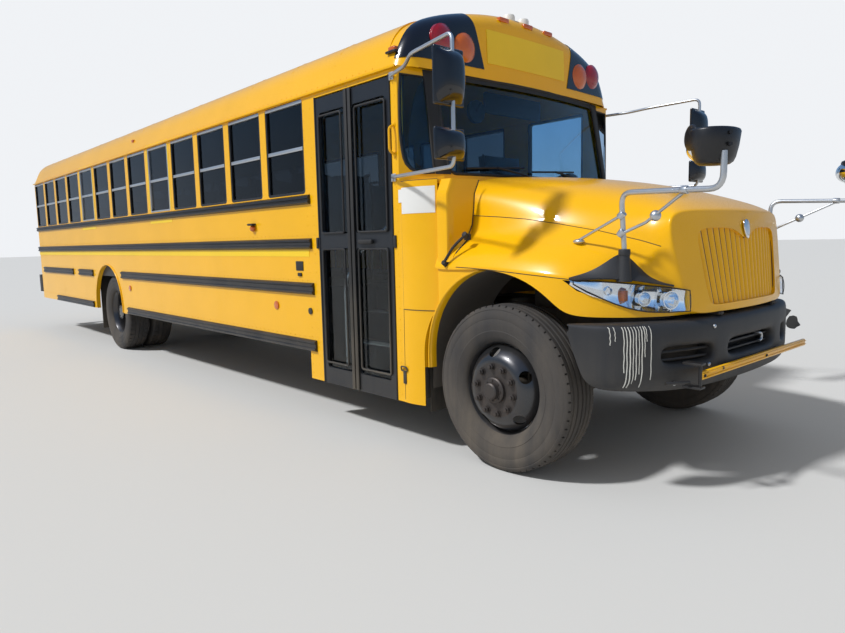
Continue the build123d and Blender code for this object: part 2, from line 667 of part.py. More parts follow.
# Cowl: the bowed quarter panels behind the front wheels, the deck under the windshield,
# the firewall and the floor ahead of the entrance.
quarterFrontX = ahead(-505)
quarterFrontY = 1150
lipFrontX = ahead(-325)
lipTopZ = 1425
lipOuterY = 1168
quarterTopZ = maskFootZ
arcPlate = 40
firewallX = ahead(-700)
flapX = ahead(-618)
flapHeadZ = 745
with BuildPart() as cowl:
    for side in (1, -1):
        with BuildSketch(Plane.XY.offset(skirtStepZ)):
            with BuildLine():
                ThreePointArc((postFrontX, side * halfBody), (ahead(-600), side * (halfBody - 22)),
                              (quarterFrontX, side * quarterFrontY))
                Line((quarterFrontX, side * quarterFrontY), (quarterFrontX, side * (quarterFrontY - arcPlate)))
                ThreePointArc((quarterFrontX, side * (quarterFrontY - arcPlate)),
                              (ahead(-600), side * (halfBody - 22 - arcPlate)),
                              (postFrontX, side * (halfBody - arcPlate)))
                Line((postFrontX, side * (halfBody - arcPlate)), (postFrontX, side * halfBody))
            make_face()
        extrude(amount=quarterTopZ - skirtStepZ)
    with Locations(((firewallX + quarterFrontX) / 2, 0, maskFootZ - 20)):
        Box(quarterFrontX - firewallX, 2 * quarterFrontY - 60, 40)
    with Locations(((postFrontX + firewallX) / 2, 0, maskFootZ - 20)):
        Box(firewallX - postFrontX, 2 * (halfBody - 20), 40)
    with Locations((firewallX + 20, 0, (floorZ - floorPlate + maskFootZ) / 2)):
        Box(40, 2 * (halfBody - 40), maskFootZ - floorZ + floorPlate)
    for side in (1, -1):
        with Locations((firewallX + 20, side * (halfBody - 40 + 480) / 2, (skirtStepZ + floorZ) / 2)):
            Box(40, halfBody - 40 - 480, floorZ - skirtStepZ)
    with Locations(((floorFrontX + firewallX) / 2 + 10, 0, floorZ - floorPlate / 2)):
        Box(firewallX - floorFrontX + 20 - seatingGap, 2 * innerHalf, floorPlate)
    for side in (1, -1):
        lipX = (quarterFrontX - 12 + lipFrontX) / 2
        lipLength = lipFrontX - quarterFrontX + 12
        with Locations((lipX, side * (lipOuterY - 20), (floorZ + lipTopZ) / 2)):
            Box(lipLength, 40, lipTopZ - floorZ)
        with Locations((lipX, side * (lipOuterY + 995) / 2, lipTopZ - 15)):
            Box(lipLength, lipOuterY - 995, 30)
        with Locations((quarterFrontX, side * (lipOuterY + 995) / 2, (lipTopZ + quarterTopZ) / 2 - 20)):
            Box(24, lipOuterY - 995, quarterTopZ - lipTopZ + 10)
    for side in (1, -1):
        with Locations(((firewallX + 20 + flapX - 4 - seatingGap) / 2, side * 1010, flapHeadZ - 40)):
            Box(flapX - 4 - seatingGap - firewallX - 20, 260, 30)
    with BuildSketch(Plane.XZ.offset(-2000)):
        with Locations((frontArchX, frontArchZ)):
            Circle(frontArchRadius)
        with Locations((frontArchX, frontArchZ - 300)):
            Rectangle(2 * frontArchRadius, 600)
    extrude(amount=4000, mode=Mode.SUBTRACT)
finish(cowl, "cowl")

# Panes of the side windows, the rear wall, the windshield and its corner windows.
glassInset = 18
with BuildPart() as wrapGlass:
    add(maskShell(14, 20))
    add(maskOpenings.part, mode=Mode.INTERSECT)
with BuildPart() as windowGlass:
    for side in (1, -1):
        with BuildSketch(Plane.XZ.offset(-side * (halfBody - glassInset - glassThickness))):
            with Locations([(x, windowZ) for x in windowCentres()]):
                RectangleRounded(windowWidth - 2 * sashWidth, windowHeight - 2 * sashWidth, 20)
            if side > 0:
                with Locations((driverWindowX, windowZ)):
                    RectangleRounded(driverWindowWidth - 2 * sashWidth, windowHeight - 2 * sashWidth, 20)
        extrude(amount=-side * glassThickness)
        with BuildSketch(Plane.YZ.offset(bodyRearX + glassInset)):
            with Locations((side * rearWindowY, windowZ)):
                RectangleRounded(rearWindowWidth, windowHeight - 60, 30)
        extrude(amount=glassThickness)
    add(wrapGlass.part)
finish(windowGlass, "window_glass")

# Split sashes: an aluminium frame round each side window with a middle bar.
sashDepth = wall - 6
sashBarZ = 2151
with BuildPart() as windowFrames:
    for side in (1, -1):
        with BuildSketch(Plane.XZ.offset(-side * (halfBody - 3 - sashDepth))):
            for x in windowCentres():
                with Locations((x, windowZ)):
                    RectangleRounded(windowWidth, windowHeight, 30)
                    RectangleRounded(windowWidth - 2 * sashWidth, windowHeight - 2 * sashWidth, 20, mode=Mode.SUBTRACT)
            if side > 0:
                with Locations((driverWindowX, windowZ)):
                    RectangleRounded(driverWindowWidth, windowHeight, 30)
                    RectangleRounded(driverWindowWidth - 2 * sashWidth, windowHeight - 2 * sashWidth, 20,
                                     mode=Mode.SUBTRACT)
        extrude(amount=-side * sashDepth)
        with BuildSketch(Plane.XZ.offset(-side * (halfBody - glassInset))):
            with Locations([(x, sashBarZ) for x in windowCentres()]):
                Rectangle(windowWidth - 2 * sashWidth, 30)
        extrude(amount=-side * 10)
finish(windowFrames, "window_frames")

# Rub rails: four pressed rails along each side; the lower two stop at the wheel arch.
railProud = 28
rubRails = (  # foot height, head height, list of runs ahead of the front axle
    (1712, 1784, ((-10860, -1888),)),
    (1359, 1445, ((-10860, -1885),)),
    (994, 1091, ((-10600, -8753), (-8428, -7730), (-6481, -1876))),
    (536, 629, ((-9816, -7787), (-6310, -1867))),
)
with BuildPart() as rubRail:
    for side in (1, -1):
        for footZ, headZ, runs in rubRails:
            for rear, front in runs:
                with BuildSketch(Plane.YZ.offset(ahead(rear))):
                    with BuildLine():
                        Polyline((side * (halfBody + seatingGap), footZ), (side * (halfBody + railProud), footZ + 12),
                                 (side * (halfBody + railProud), headZ - 12), (side * (halfBody + seatingGap), headZ),
                                 (side * (halfBody + seatingGap), footZ))
                    make_face()
                extrude(amount=front - rear)
finish(rubRail, "rub_rails")

# Entrance well: three treads with risers between the well's two end plates.
stepCount = 3
stepFootZ = 380
stepRise = (floorZ - stepFootZ) / stepCount
stepOuterY = halfBody - 75
stepRun = (stepOuterY - wellInnerY) / stepCount
stepPlate = 25
doorMiddleX = (doorRearX + doorFrontX) / 2
with BuildPart() as entranceSteps:
    for step in range(stepCount):
        treadZ = stepFootZ + step * stepRise
        outerY = stepOuterY - step * stepRun
        riserY = max(outerY - stepRun - stepPlate / 2, wellInnerY + stepPlate / 2)
        with Locations((doorMiddleX, -(outerY + wellInnerY) / 2, treadZ - stepPlate / 2)):
            Box(doorFrontX - doorRearX, outerY - wellInnerY, stepPlate)
        with Locations((doorMiddleX, -riserY, treadZ + stepRise / 2 - stepPlate)):
            Box(doorFrontX - doorRearX, stepPlate, stepRise)
    for endX in (doorRearX - 5, doorFrontX + 5):
        with BuildSketch(Plane.YZ.offset(endX - 5)):
            with BuildLine():
                Polyline((-wellInnerY, floorZ - floorPlate - seatingGap), (-innerHalf + seatingGap, floorZ - floorPlate - seatingGap),
                         (-innerHalf + seatingGap, doorFootZ + 20), (-wellInnerY, doorFootZ + 20),
                         (-wellInnerY, floorZ - floorPlate - seatingGap))
            make_face()
        extrude(amount=10)
finish(entranceSteps, "entrance_steps")

# Entrance door: two leaves hinged at their outer edges, with a window above and below a
# middle rail in each. The leaves turn about pins at the corners of the opening.
leafThickness = 38
leafStile = 52
leafGap = 12
sealWidth = 84
leafMidZ = 1418
leafMidHeight = 110
doorMeetX = ahead(-1343)
leafOuterY = halfBody + 1
leafFootZ = doorFootZ
leafHeadZ = doorHeadZ - leafGap
hingePinRadius = 8
for name, edgeX, inward in (("front", doorFrontX - leafGap, -1), ("rear", doorRearX + leafGap, 1)):
    meetX = doorMeetX - inward * 2
    glassX = (edgeX + inward * leafStile + meetX - inward * sealWidth / 2) / 2
    glassWidth = abs(meetX - inward * sealWidth / 2 - edgeX - inward * leafStile)
    panes = ((leafFootZ + 130, leafMidZ - leafMidHeight / 2), (leafMidZ + leafMidHeight / 2, leafHeadZ - 110))
    with BuildPart() as leaf:
        with BuildSketch(Plane.XZ.offset(leafOuterY)):
            with Locations(((edgeX + meetX) / 2, (leafFootZ + leafHeadZ) / 2)):
                Rectangle(abs(meetX - edgeX), leafHeadZ - leafFootZ)
            for footZ, headZ in panes:
                with Locations((glassX, (footZ + headZ) / 2)):
                    RectangleRounded(glassWidth, headZ - footZ, 25, mode=Mode.SUBTRACT)
        extrude(amount=-leafThickness)
        with BuildSketch(Plane.XY.offset(leafFootZ)):
            with Locations((edgeX, -leafOuterY)):
                Circle(hingePinRadius)
        extrude(amount=doorHeadZ - leafFootZ - seatingGap)
    finish(leaf, f"door_{name}_leaf")
    with BuildPart() as leafGlass:
        with BuildSketch(Plane.XZ.offset(leafOuterY - leafThickness / 2)):
            for footZ, headZ in panes:
                with Locations((glassX, (footZ + headZ) / 2)):
                    RectangleRounded(glassWidth, headZ - footZ, 25)
        extrude(amount=-glassThickness)
    finish(leafGlass, f"door_{name}_glass")

# Seats: two-person benches on both sides of the aisle and the driver's seat.
seatWidth = 960
seatPitch = 705
seatFirstX = ahead(-2330)
seatRows = 12
seatSquabZ = 1490
seatBackZ = 2080
seatFootY = (330, 1020)
with BuildPart() as seats:
    for side in (1, -1):
        for row in range(seatRows):
            backX = seatFirstX - row * seatPitch
            with BuildSketch(Plane.XZ.offset(-side * (innerHalf - 14))):
                with BuildLine():
                    Polyline((backX, seatSquabZ - 120), (backX + 400, seatSquabZ - 120), (backX + 400, seatSquabZ - 20),
                             (backX + 70, seatSquabZ), (backX, seatBackZ), (backX - 80, seatBackZ),
                             (backX - 60, seatSquabZ - 120), (backX, seatSquabZ - 120))
                make_face()
            extrude(amount=side * seatWidth)
            for footY in seatFootY:
                if abs(backX + 180 - rearAxleX) < wheelWellHalf + 90 and footY > 500:
                    footZ = wheelWellTopZ
                else:
                    footZ = floorZ
                with Locations((backX + 180, side * footY, (footZ + seatSquabZ - 120) / 2)):
                    Box(60, 36, seatSquabZ - 120 - footZ)
    driverX = ahead(-1480)
    driverY = 620
    with BuildSketch(Plane.XZ.offset(-driverY - 250)):
        with BuildLine():
            Polyline((driverX, 1500), (driverX + 460, 1520), (driverX + 460, 1620), (driverX + 60, 1600),
                     (driverX - 40, 2180), (driverX - 140, 2180), (driverX - 60, 1500), (driverX, 1500))
        make_face()
    extrude(amount=500)
    with Locations((driverX + 200, driverY, (floorZ + 1505) / 2)):
        Box(260, 260, 1505 - floorZ)
finish(seats, "seats")

# Dashboard across the cab and the raked steering column.
columnFootX = ahead(-745)
columnTopX = ahead(-905)
columnFootZ = 1560
columnTopZ = 1760
with BuildPart() as dashboard:
    with BuildSketch(Plane.XZ.offset(-innerHalf + 40)):
        with BuildLine():
            Polyline((firewallX - seatingGap, 1500), (firewallX - seatingGap, maskFootZ - 45), (postFrontX - 20, maskFootZ - 45),
                     (postFrontX - 40, 1600), (firewallX - 60, 1500), (firewallX - seatingGap, 1500))
        make_face()
    extrude(amount=2 * innerHalf - 80)
    with BuildSketch(Plane(origin=(columnFootX, driverY, columnFootZ),
                           z_dir=(columnTopX - columnFootX, 0, columnTopZ - columnFootZ))):
        Circle(32)
    extrude(amount=hypot(columnTopX - columnFootX, columnTopZ - columnFootZ))
finish(dashboard, "dashboard")

columnPlane = Plane(origin=(columnTopX, driverY, columnTopZ),
                    z_dir=(columnTopX - columnFootX, 0, columnTopZ - columnFootZ))
steeringRadius = 225
with BuildPart() as steeringWheel:
    with BuildSketch(columnPlane.offset(seatingGap)):
        Circle(55)
    extrude(amount=40)
    with BuildSketch(columnPlane.offset(22)):
        Rectangle(2 * steeringRadius, 30)
        Rectangle(30, 2 * steeringRadius)
    extrude(amount=14)
    with BuildSketch(Plane(origin=columnPlane.origin + columnPlane.z_dir * 29, x_dir=columnPlane.x_dir,
                           z_dir=columnPlane.y_dir)):
        with Locations((steeringRadius, 0)):
            Circle(15)
    revolve(axis=Axis(columnPlane.origin, columnPlane.z_dir))
finish(steeringWheel, "steering_wheel")

# Hood and fenders, one moulding lofted through its stations, opened below and cut to a
# nose that is raked and bowed in plan.
hoodPlate = 22
hoodFootZ = 985
lugReach = 21
lugClearance = 0.4
hoodStations = (  # ahead, crown Z, then Y and Z of shoulder, corner, crease, valley, crest, flange, then foot Y
    (-495, 1853, 800, 1800, 945, 1725, 955, 1573, 990, 1425, 1090, 1362, 1190, 1240, 1190),
    (-50, 1815, 740, 1762, 885, 1675, 940, 1540, 985, 1430, 1080, 1372, 1190, 1232, 1190),
    (200, 1775, 690, 1725, 840, 1635, 905, 1500, 970, 1415, 1060, 1358, 1183, 1220, 1183),
    (455, 1722, 640, 1672, 780, 1580, 850, 1452, 915, 1385, 1000, 1340, 1130, 1195, 1140),
    (640, 1668, 600, 1628, 738, 1540, 800, 1402, 860, 1340, 935, 1290, 1035, 1172, 1060),
    (760, 1625, 580, 1595, 735, 1515, 765, 1370, 800, 1300, 840, 1240, 925, 1140, 950),
    (850, 1588, 560, 1572, 745, 1490, 738, 1340, 735, 1265, 735, 1205, 765, 1110, 780),
    (1010, 1530, 500, 1525, 700, 1440, 660, 1290, 640, 1200, 600, 1140, 520, 1080, 490),
)
insetShare = (  # how far each corner of a station moves in Y and Z for an inset of 1
    (0.4, 1.1),
    (0.9, 0.7),
    (1.0, 0.3),
    (0.9, 0.7),
    (0.6, 1.0),
    (1.0, 0.5),
)
noseX = 1111
noseRake = 0.117
noseBow = 106
noseHalf = 800
noseBaseZ = 800
noseRise = 1200


def noseBlock(inset):
    """All that lies behind the nose's raked and bowed face, drawn in by an inset."""
    frontX = ahead(noseX - noseRake * noseBaseZ - inset)
    with BuildPart(mode=Mode.PRIVATE) as body:
        with BuildSketch(Plane.XY.offset(noseBaseZ)):
            with BuildLine():
                Polyline((frontX - noseBow, noseHalf), (frontX - noseBow, 1400), (ahead(-700), 1400),
                         (ahead(-700), -1400), (frontX - noseBow, -1400), (frontX - noseBow, -noseHalf))
                ThreePointArc((frontX - noseBow, -noseHalf), (frontX, 0), (frontX - noseBow, noseHalf))
            make_face()
        extrude(amount=hypot(noseRise, noseRake * noseRise), dir=(-noseRake, 0, 1))
    return body.part


def hoodLoft(inset):
    """The hood's body between its stations, drawn in by an inset and cut to the nose."""
    with BuildPart(mode=Mode.PRIVATE) as body:
        for station, crown, *corners, footY in hoodStations:
            depth = hoodFootZ - 2 * inset
            pairs = list(zip(corners[::2], corners[1::2]))
            half = [(y - inset * shareY, z - inset * shareZ)
                    for (y, z), (shareY, shareZ) in zip(pairs, insetShare)]
            half.append((footY - inset, depth))
            stationX = ahead(station)
            if station == hoodStations[0][0]:
                stationX = stationX - inset / 10
            with BuildSketch(Plane.YZ.offset(stationX)):
                with BuildLine():
                    Polyline(*half)
                    Line(half[-1], (-half[-1][0], depth))
                    Polyline(*[(-y, z) for y, z in reversed(half)])
                    ThreePointArc((-half[0][0], half[0][1]), (0, crown - 1.1 * inset), half[0])
                make_face()
        loft(ruled=True)
        add(noseBlock(inset), mode=Mode.INTERSECT)
    return body.part


grilleTop = (1445, 532)
grilleFoot = (1018, 450)
grilleNotch = (195, 1357)
ribCount = 9
lampOutline = ((655, 1112), (800, 1140), (1000, 1162), (1118, 1172), (1060, 1095), (930, 1020), (800, 1002),
               (655, 1000), (655, 1112))
with BuildPart() as lampPrism:
    for side in (1, -1):
        with BuildSketch(Plane.YZ.offset(ahead(400))):
            with BuildLine():
                Polyline(*[(side * y, z) for y, z in lampOutline])
            make_face()
        extrude(amount=700)


def grilleOutline(inset):
    """The notched opening in the hood's face, drawn in by an inset."""
    topZ, topY = grilleTop
    footZ, footY = grilleFoot
    notchY, notchZ = grilleNotch
    with BuildSketch(mode=Mode.PRIVATE) as outline:
        with BuildLine():
            Polyline((topY - inset, topZ - inset), (notchY + inset / 2, topZ - inset), (0, notchZ - 1.2 * inset),
                     (-notchY - inset / 2, topZ - inset), (inset - topY, topZ - inset),
                     (inset - footY, footZ + inset), (footY - inset, footZ + inset), (topY - inset, topZ - inset))
        make_face()
    return outline.sketch


fenderCutX = ahead(-315)
with BuildPart() as hood:
    add(hoodLoft(0))
    add(hoodLoft(hoodPlate), mode=Mode.SUBTRACT)
    with BuildSketch(Plane.XZ.offset(-2000)):
        with Locations((frontArchX, frontArchZ)):
            Circle(frontArchRadius)
        with Locations((frontArchX - 480, 1240 - 300)):
            Rectangle(960, 600)
    extrude(amount=4000, mode=Mode.SUBTRACT)
    for side in (1, -1):
        with Locations((fenderCutX - 200, side * 1085, 1300)):
            Box(400, 200, 270, mode=Mode.SUBTRACT)
    with BuildSketch(Plane.YZ.offset(ahead(600))):
        add(grilleOutline(0))
    extrude(amount=500, mode=Mode.SUBTRACT)
    add(lampPrism.part, mode=Mode.SUBTRACT)
    for side in (1, -1):
        for outward in (-17.3, 17.3):
            with BuildSketch(Plane.XZ.offset(-side * (pivotY + outward) + 9)):
                with Locations((hoodPivotX, hoodPivotZ)):
                    Circle(14)
                with BuildLine():
                    Polyline((hoodPivotX - 14, hoodPivotZ), (hoodPivotX + 10, hoodPivotZ),
                             (ahead(974), hoodFootZ + lugReach), (ahead(955), hoodFootZ + lugReach),
                             (hoodPivotX - 14, hoodPivotZ))
                make_face()
                with Locations((hoodPivotX, hoodPivotZ)):
                    Circle(pivotPinRadius + lugClearance, mode=Mode.SUBTRACT)
            extrude(amount=-18)
finish(hood, "hood")

# Grille: fanned upright ribs on a backing plate, bowed with the nose and seated in its opening.
ribWidth = 26
grilleDepth = 26
backingPlate = 10
with BuildPart() as ribFan:
    with BuildSketch(Plane.YZ.offset(ahead(600))):
        for side in (1, -1):
            for rib in range(ribCount):
                share = (rib + 0.55) / ribCount
                topY = side * share * (grilleTop[1] - 12)
                footY = side * share * (grilleFoot[1] - 12)
                with BuildLine():
                    Polyline((topY - ribWidth / 2, grilleTop[0]), (topY + ribWidth / 2, grilleTop[0]),
                             (footY + ribWidth / 2, grilleFoot[0]), (footY - ribWidth / 2, grilleFoot[0]),
                             (topY - ribWidth / 2, grilleTop[0]))
                make_face()
        add(grilleOutline(seatingGap), mode=Mode.INTERSECT)
    extrude(amount=500)
    add(noseBlock(0), mode=Mode.INTERSECT)
with BuildPart() as grille:
    with BuildSketch(Plane.YZ.offset(ahead(600))):
        add(grilleOutline(seatingGap))
    extrude(amount=500)
    add(noseBlock(grilleDepth - backingPlate), mode=Mode.INTERSECT)
    add(ribFan.part)
    add(noseBlock(grilleDepth), mode=Mode.SUBTRACT)
finish(grille, "grille")

# Headlights: almond-shaped lamps that follow the fender's skin.
with BuildPart() as headlights:
    add(hoodLoft(seatingGap))
    add(hoodLoft(hoodPlate - 2), mode=Mode.SUBTRACT)
    add(lampPrism.part, mode=Mode.INTERSECT)
finish(headlights, "headlights")

# Crossview mirrors: a flared base over each headlight, a bent tube and a domed head.
crossBase = (ahead(720), 960, 1180)
crossBend = (ahead(712), 990, 1640)
crossReach = (ahead(1235), 1075, 1700)
crossHeadZ = 1815
crossTube = 15
with BuildPart() as crossviewMirrors:
    for side in (1, -1):
        base = (crossBase[0], side * crossBase[1], crossBase[2])
        bend = (crossBend[0], side * crossBend[1], crossBend[2])
        reach = (crossReach[0], side * crossReach[1], crossReach[2])
        head = (crossReach[0], side * crossReach[1], crossHeadZ)
        with BuildLine() as route:
            FilletPolyline(base, bend, reach, head, radius=40)
        with BuildSketch(Plane(origin=base, z_dir=(bend[0] - base[0], 0, bend[2] - base[2]))):
            Circle(crossTube)
        sweep(path=route.wires()[0])
        with BuildSketch(Plane.XY.offset(crossBase[2] - 25)):
            with Locations((base[0], base[1])):
                Ellipse(60, 36)
        extrude(amount=150, taper=7)
        with Locations((head[0], head[1], crossHeadZ)):
            Sphere(100, arc_size1=0)
        with BuildSketch(Plane.XY.offset(crossHeadZ - 15)):
            with Locations((head[0], head[1])):
                Circle(103)
        extrude(amount=15)
    add(hoodLoft(-seatingGap), mode=Mode.SUBTRACT)
finish(crossviewMirrors, "crossview_mirrors")

# Front bumper: a swept-back pressing with two low openings and the lugs of the crossing
# arm's pin. Its driver's end is broken off.
armHalf = 765
armZ = 672
armX = ahead(1040)
armHeight = 46
armHingeY = -armHalf + 20
armPinHalf = 60
bumperTopZ = 945
bumperFootZ = 545
bumperDepth = 85
bumperPlan = (  # ahead, half width
    (540, 1190),
    (740, 1085),
    (860, 900),
    (968, 600),
    (1015, 0),
)
with BuildPart() as frontBumper:
    with BuildSketch(Plane.XY.offset(bumperFootZ)):
        outer = [(ahead(x), y) for x, y in bumperPlan]
        with BuildLine():
            Polyline(*outer, *[(x, -y) for x, y in reversed(outer[:-1])])
            Polyline((outer[0][0], -outer[0][1]), (outer[0][0] - 5, -outer[0][1] + 60),
                     *[(x - bumperDepth, -y + 20) for x, y in outer[1:-1]],
                     *[(x - bumperDepth, y - 20) for x, y in reversed(outer[1:-1])],
                     (outer[0][0] - 5, outer[0][1] - 60), outer[0])
        make_face()
    extrude(amount=bumperTopZ - bumperFootZ)
    with BuildSketch(Plane.XZ.offset(-2000)):
        with BuildLine():
            Polyline((ahead(400), bumperTopZ - 20), (ahead(540), bumperTopZ - 20), (ahead(700), bumperFootZ),
                     (ahead(700), bumperFootZ - 100), (ahead(400), bumperFootZ - 100), (ahead(400), bumperTopZ - 20))
        make_face()
    extrude(amount=4000, mode=Mode.SUBTRACT)
    with Locations([(ahead(950), y, 790) for y in (-290, 290)]):
        Box(300, 430, 120, mode=Mode.SUBTRACT)
    with BuildSketch(Plane.XZ.offset(-1300)):
        with BuildLine():
            Polyline((ahead(300), 1100), (ahead(830), 1100), (ahead(800), 880), (ahead(860), 760), (ahead(790), 690),
                     (ahead(850), 500), (ahead(300), 500), (ahead(300), 1100))
        make_face()
    extrude(amount=500, mode=Mode.SUBTRACT)
    for side in (1, -1):
        with Locations(((railFrontX + ahead(930)) / 2 + seatingGap, side * (railHalfGap - 30), 770)):
            Box(ahead(930) - railFrontX, 60, 150)
    for lift in (-1, 1):
        with Locations(((armX + ahead(870)) / 2 + 8, armHingeY, armZ + lift * (armPinHalf + seatingGap + lugPlate / 2))):
            Box(armX + 16 - ahead(870), 34, lugPlate)
finish(frontBumper, "front_bumper")

# Crossing arm: a straight bar across the bumper, hinged at its curb end.
with BuildPart() as crossingArm:
    with Locations((armX, 0, armZ)):
        Box(26, 2 * armHalf, armHeight)
    with BuildSketch(Plane.XY.offset(armZ - armPinHalf)):
        with Locations((armX, armHingeY)):
            Circle(9)
    extrude(amount=2 * armPinHalf)
finish(crossingArm, "crossing_arm")

# Stop arm: a blank octagon folded flat against the driver's side, hinged at its front.
with BuildPart() as stopArm:
    with BuildSketch(Plane.XZ.offset(-stopArmY)):
        with Locations((stopArmX - 330, stopArmZ)):
            RegularPolygon(225, 8, major_radius=False, rotation=22.5)
        with Locations((stopArmX - 55, stopArmZ)):
            Rectangle(110, 120)
    extrude(amount=-stopArmPlate)
    with BuildSketch(Plane.XY.offset(stopArmZ - stopPinHalf)):
        with Locations((stopArmX, stopArmY + stopArmPlate / 2)):
            Circle(10)
    extrude(amount=2 * stopPinHalf)
finish(stopArm, "stop_arm")

# Rear bumper with its wrapped ends.
rearBumperTopZ = 940
rearBumperFootZ = 640
with BuildPart() as rearBumper:
    with BuildSketch(Plane.XY.offset(rearBumperFootZ)):
        with Locations((bodyRearX - rearBumperReach / 2, 0)):
            RectangleRounded(rearBumperReach, bodyWidth + 6, 60)
        with Locations((bodyRearX - rearBumperReach / 2 + rearBumperPlate, 0)):
            Rectangle(rearBumperReach, bodyWidth - 60, mode=Mode.SUBTRACT)
    extrude(amount=rearBumperTopZ - rearBumperFootZ)
finish(rearBumper, "rear_bumper")

# Driving mirrors: a tube bent out of the post above and below, carrying a flat and a convex head.
mirrorRootX = ahead(-848)
mirrorTubeX = ahead(-50)
mirrorTubeY = 1450
mirrorRoots = (1828, 2483)
mirrorTube = 11
mirrorHeads = (  # foot, height, width
    (2140, 310, 250),
    (1845, 175, 250),
)
with BuildPart() as sideMirrors:
    for side in (1, -1):
        corners = ((mirrorRootX, side * (halfBody + 12), mirrorRoots[0]), (mirrorTubeX, side * mirrorTubeY, 1815),
                   (mirrorTubeX, side * mirrorTubeY, 2530), (mirrorRootX, side * (halfBody + 12), mirrorRoots[1]))
        with BuildLine() as route:
            FilletPolyline(*corners, radius=45)
        with BuildSketch(Plane(origin=route.wires()[0] @ 0, z_dir=route.wires()[0] % 0)):
            Circle(mirrorTube)
        sweep(path=route.wires()[0])
        for rootZ in mirrorRoots:
            with Locations((mirrorRootX, side * (halfBody + seatingGap + 7), rootZ)):
                Box(30, 14, 44)
        for footZ, height, width in mirrorHeads:
            with Locations((mirrorTubeX - 35, side * (mirrorTubeY + 10), footZ + height / 2)):
                Box(50, width, height)
    fillet(sideMirrors.edges().filter_by(Axis.X).filter_by(lambda edge: edge.length > 30), 20)
finish(sideMirrors, "side_mirrors")

# Lamps: the warning lamps of both ends, clearance lamps, tail lamps and the side markers.
warningLamps = ((878, 2760), (672, 2730))
clearanceY = (-1150, -250, 0, 250, 1150)
with BuildPart() as lamps:
    for y, z in warningLamps:
        for side in (1, -1):
            with BuildSketch(Plane.YZ.offset(ahead(-780))):
                with Locations((side * y, z)):
                    Circle(88)
            extrude(amount=105)
            with BuildSketch(Plane.YZ.offset(bodyRearX - 25)):
                with Locations((side * y, z)):
                    Circle(88)
            extrude(amount=25 - seatingGap)
    for side in (1, -1):
        for footZ in (1240, 1480):
            with BuildSketch(Plane.YZ.offset(bodyRearX - 25)):
                with Locations((side * 950, footZ)):
                    Circle(90 if footZ == 1240 else 60)
            extrude(amount=25 - seatingGap)
        for markerX in (ahead(-5931), ahead(-1500)):
            with Locations((markerX, side * (halfBody - 58), 2700)):
                Box(70, 40, 40)
with BuildPart() as lampSet:
    add(lamps.part)
    add(frontCap.part, mode=Mode.SUBTRACT)
    add(roof.part, mode=Mode.SUBTRACT)
finish(lampSet, "lamps")

# Mud flaps behind each axle.
with BuildPart() as mudFlaps:
    for side in (1, -1):
        with Locations((flapX, side * 1000, flapHeadZ - 245)):
            Box(8, 280, 490)
        with Locations((rearAxleX - 700, side * (twinOuter - twinSpacing / 2), 620)):
            Box(8, 560, 780 - seatingGap)
finish(mudFlaps, "mud_flaps")
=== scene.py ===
import json
from math import atan2, cos, hypot, pi, radians, sin, sqrt

import bpy
from mathutils import Matrix, Vector

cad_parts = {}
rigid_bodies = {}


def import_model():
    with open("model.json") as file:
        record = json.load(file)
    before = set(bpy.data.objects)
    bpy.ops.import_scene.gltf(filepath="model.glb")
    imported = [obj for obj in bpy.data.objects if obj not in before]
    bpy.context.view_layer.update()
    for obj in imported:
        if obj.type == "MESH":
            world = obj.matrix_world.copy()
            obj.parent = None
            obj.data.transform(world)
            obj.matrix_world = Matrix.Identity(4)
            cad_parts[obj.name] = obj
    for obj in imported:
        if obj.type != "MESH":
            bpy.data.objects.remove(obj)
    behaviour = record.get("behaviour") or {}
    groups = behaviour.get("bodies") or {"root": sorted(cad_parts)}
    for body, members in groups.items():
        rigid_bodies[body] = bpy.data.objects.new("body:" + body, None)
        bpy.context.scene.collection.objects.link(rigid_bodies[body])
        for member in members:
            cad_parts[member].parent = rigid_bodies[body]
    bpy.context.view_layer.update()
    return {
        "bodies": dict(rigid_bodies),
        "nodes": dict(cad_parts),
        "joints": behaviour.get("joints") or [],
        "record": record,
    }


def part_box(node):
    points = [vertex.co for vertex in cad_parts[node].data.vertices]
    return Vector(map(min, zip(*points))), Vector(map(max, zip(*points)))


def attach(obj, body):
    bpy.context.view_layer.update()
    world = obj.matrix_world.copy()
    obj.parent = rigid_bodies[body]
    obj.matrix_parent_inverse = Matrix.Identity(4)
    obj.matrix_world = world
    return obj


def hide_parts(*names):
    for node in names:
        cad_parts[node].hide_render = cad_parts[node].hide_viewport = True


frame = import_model()
cadNodes = frame["nodes"]

# Places shared by the pieces, in metres: x runs forward, y to the driver's side, z up.
layout = {
    "frontAxle": 4.880,
    "wheelBase": 7.010,
    "bodyHalf": 1.219,
    "bodyRear": -5.998,
    "gutter": 2.541,
    "crown": 3.060,
    "axleHeight": 0.510,
}
bodyHalf = layout["bodyHalf"]
bodyRear = layout["bodyRear"]
gutter = layout["gutter"]
crown = layout["crown"]
axleHeight = layout["axleHeight"]


def ahead(distance):
    return layout["frontAxle"] + distance


def at(x, y, z):
    return ahead(x), y, z


def spaced(low, high, count):
    return [low + (high - low) * step / count for step in range(count + 1)]


def cornerRing(low, high, foot, head, radius, steps=4):
    points = []
    for across, up, start in ((high - radius, head - radius, 0), (low + radius, head - radius, 90),
                              (low + radius, foot + radius, 180), (high - radius, foot + radius, 270)):
        for turn in spaced(start, start + 90, steps):
            points.append((across + radius * cos(radians(turn)), up + radius * sin(radians(turn))))
    return points


rearAxle = ahead(-layout["wheelBase"])


# Modelling steps that every piece uses
def activeObject():
    return bpy.context.view_layer.objects.active


def only(*pieces):
    bpy.ops.object.select_all(action="DESELECT")
    for piece in pieces:
        piece.select_set(True)
    bpy.context.view_layer.objects.active = pieces[0]


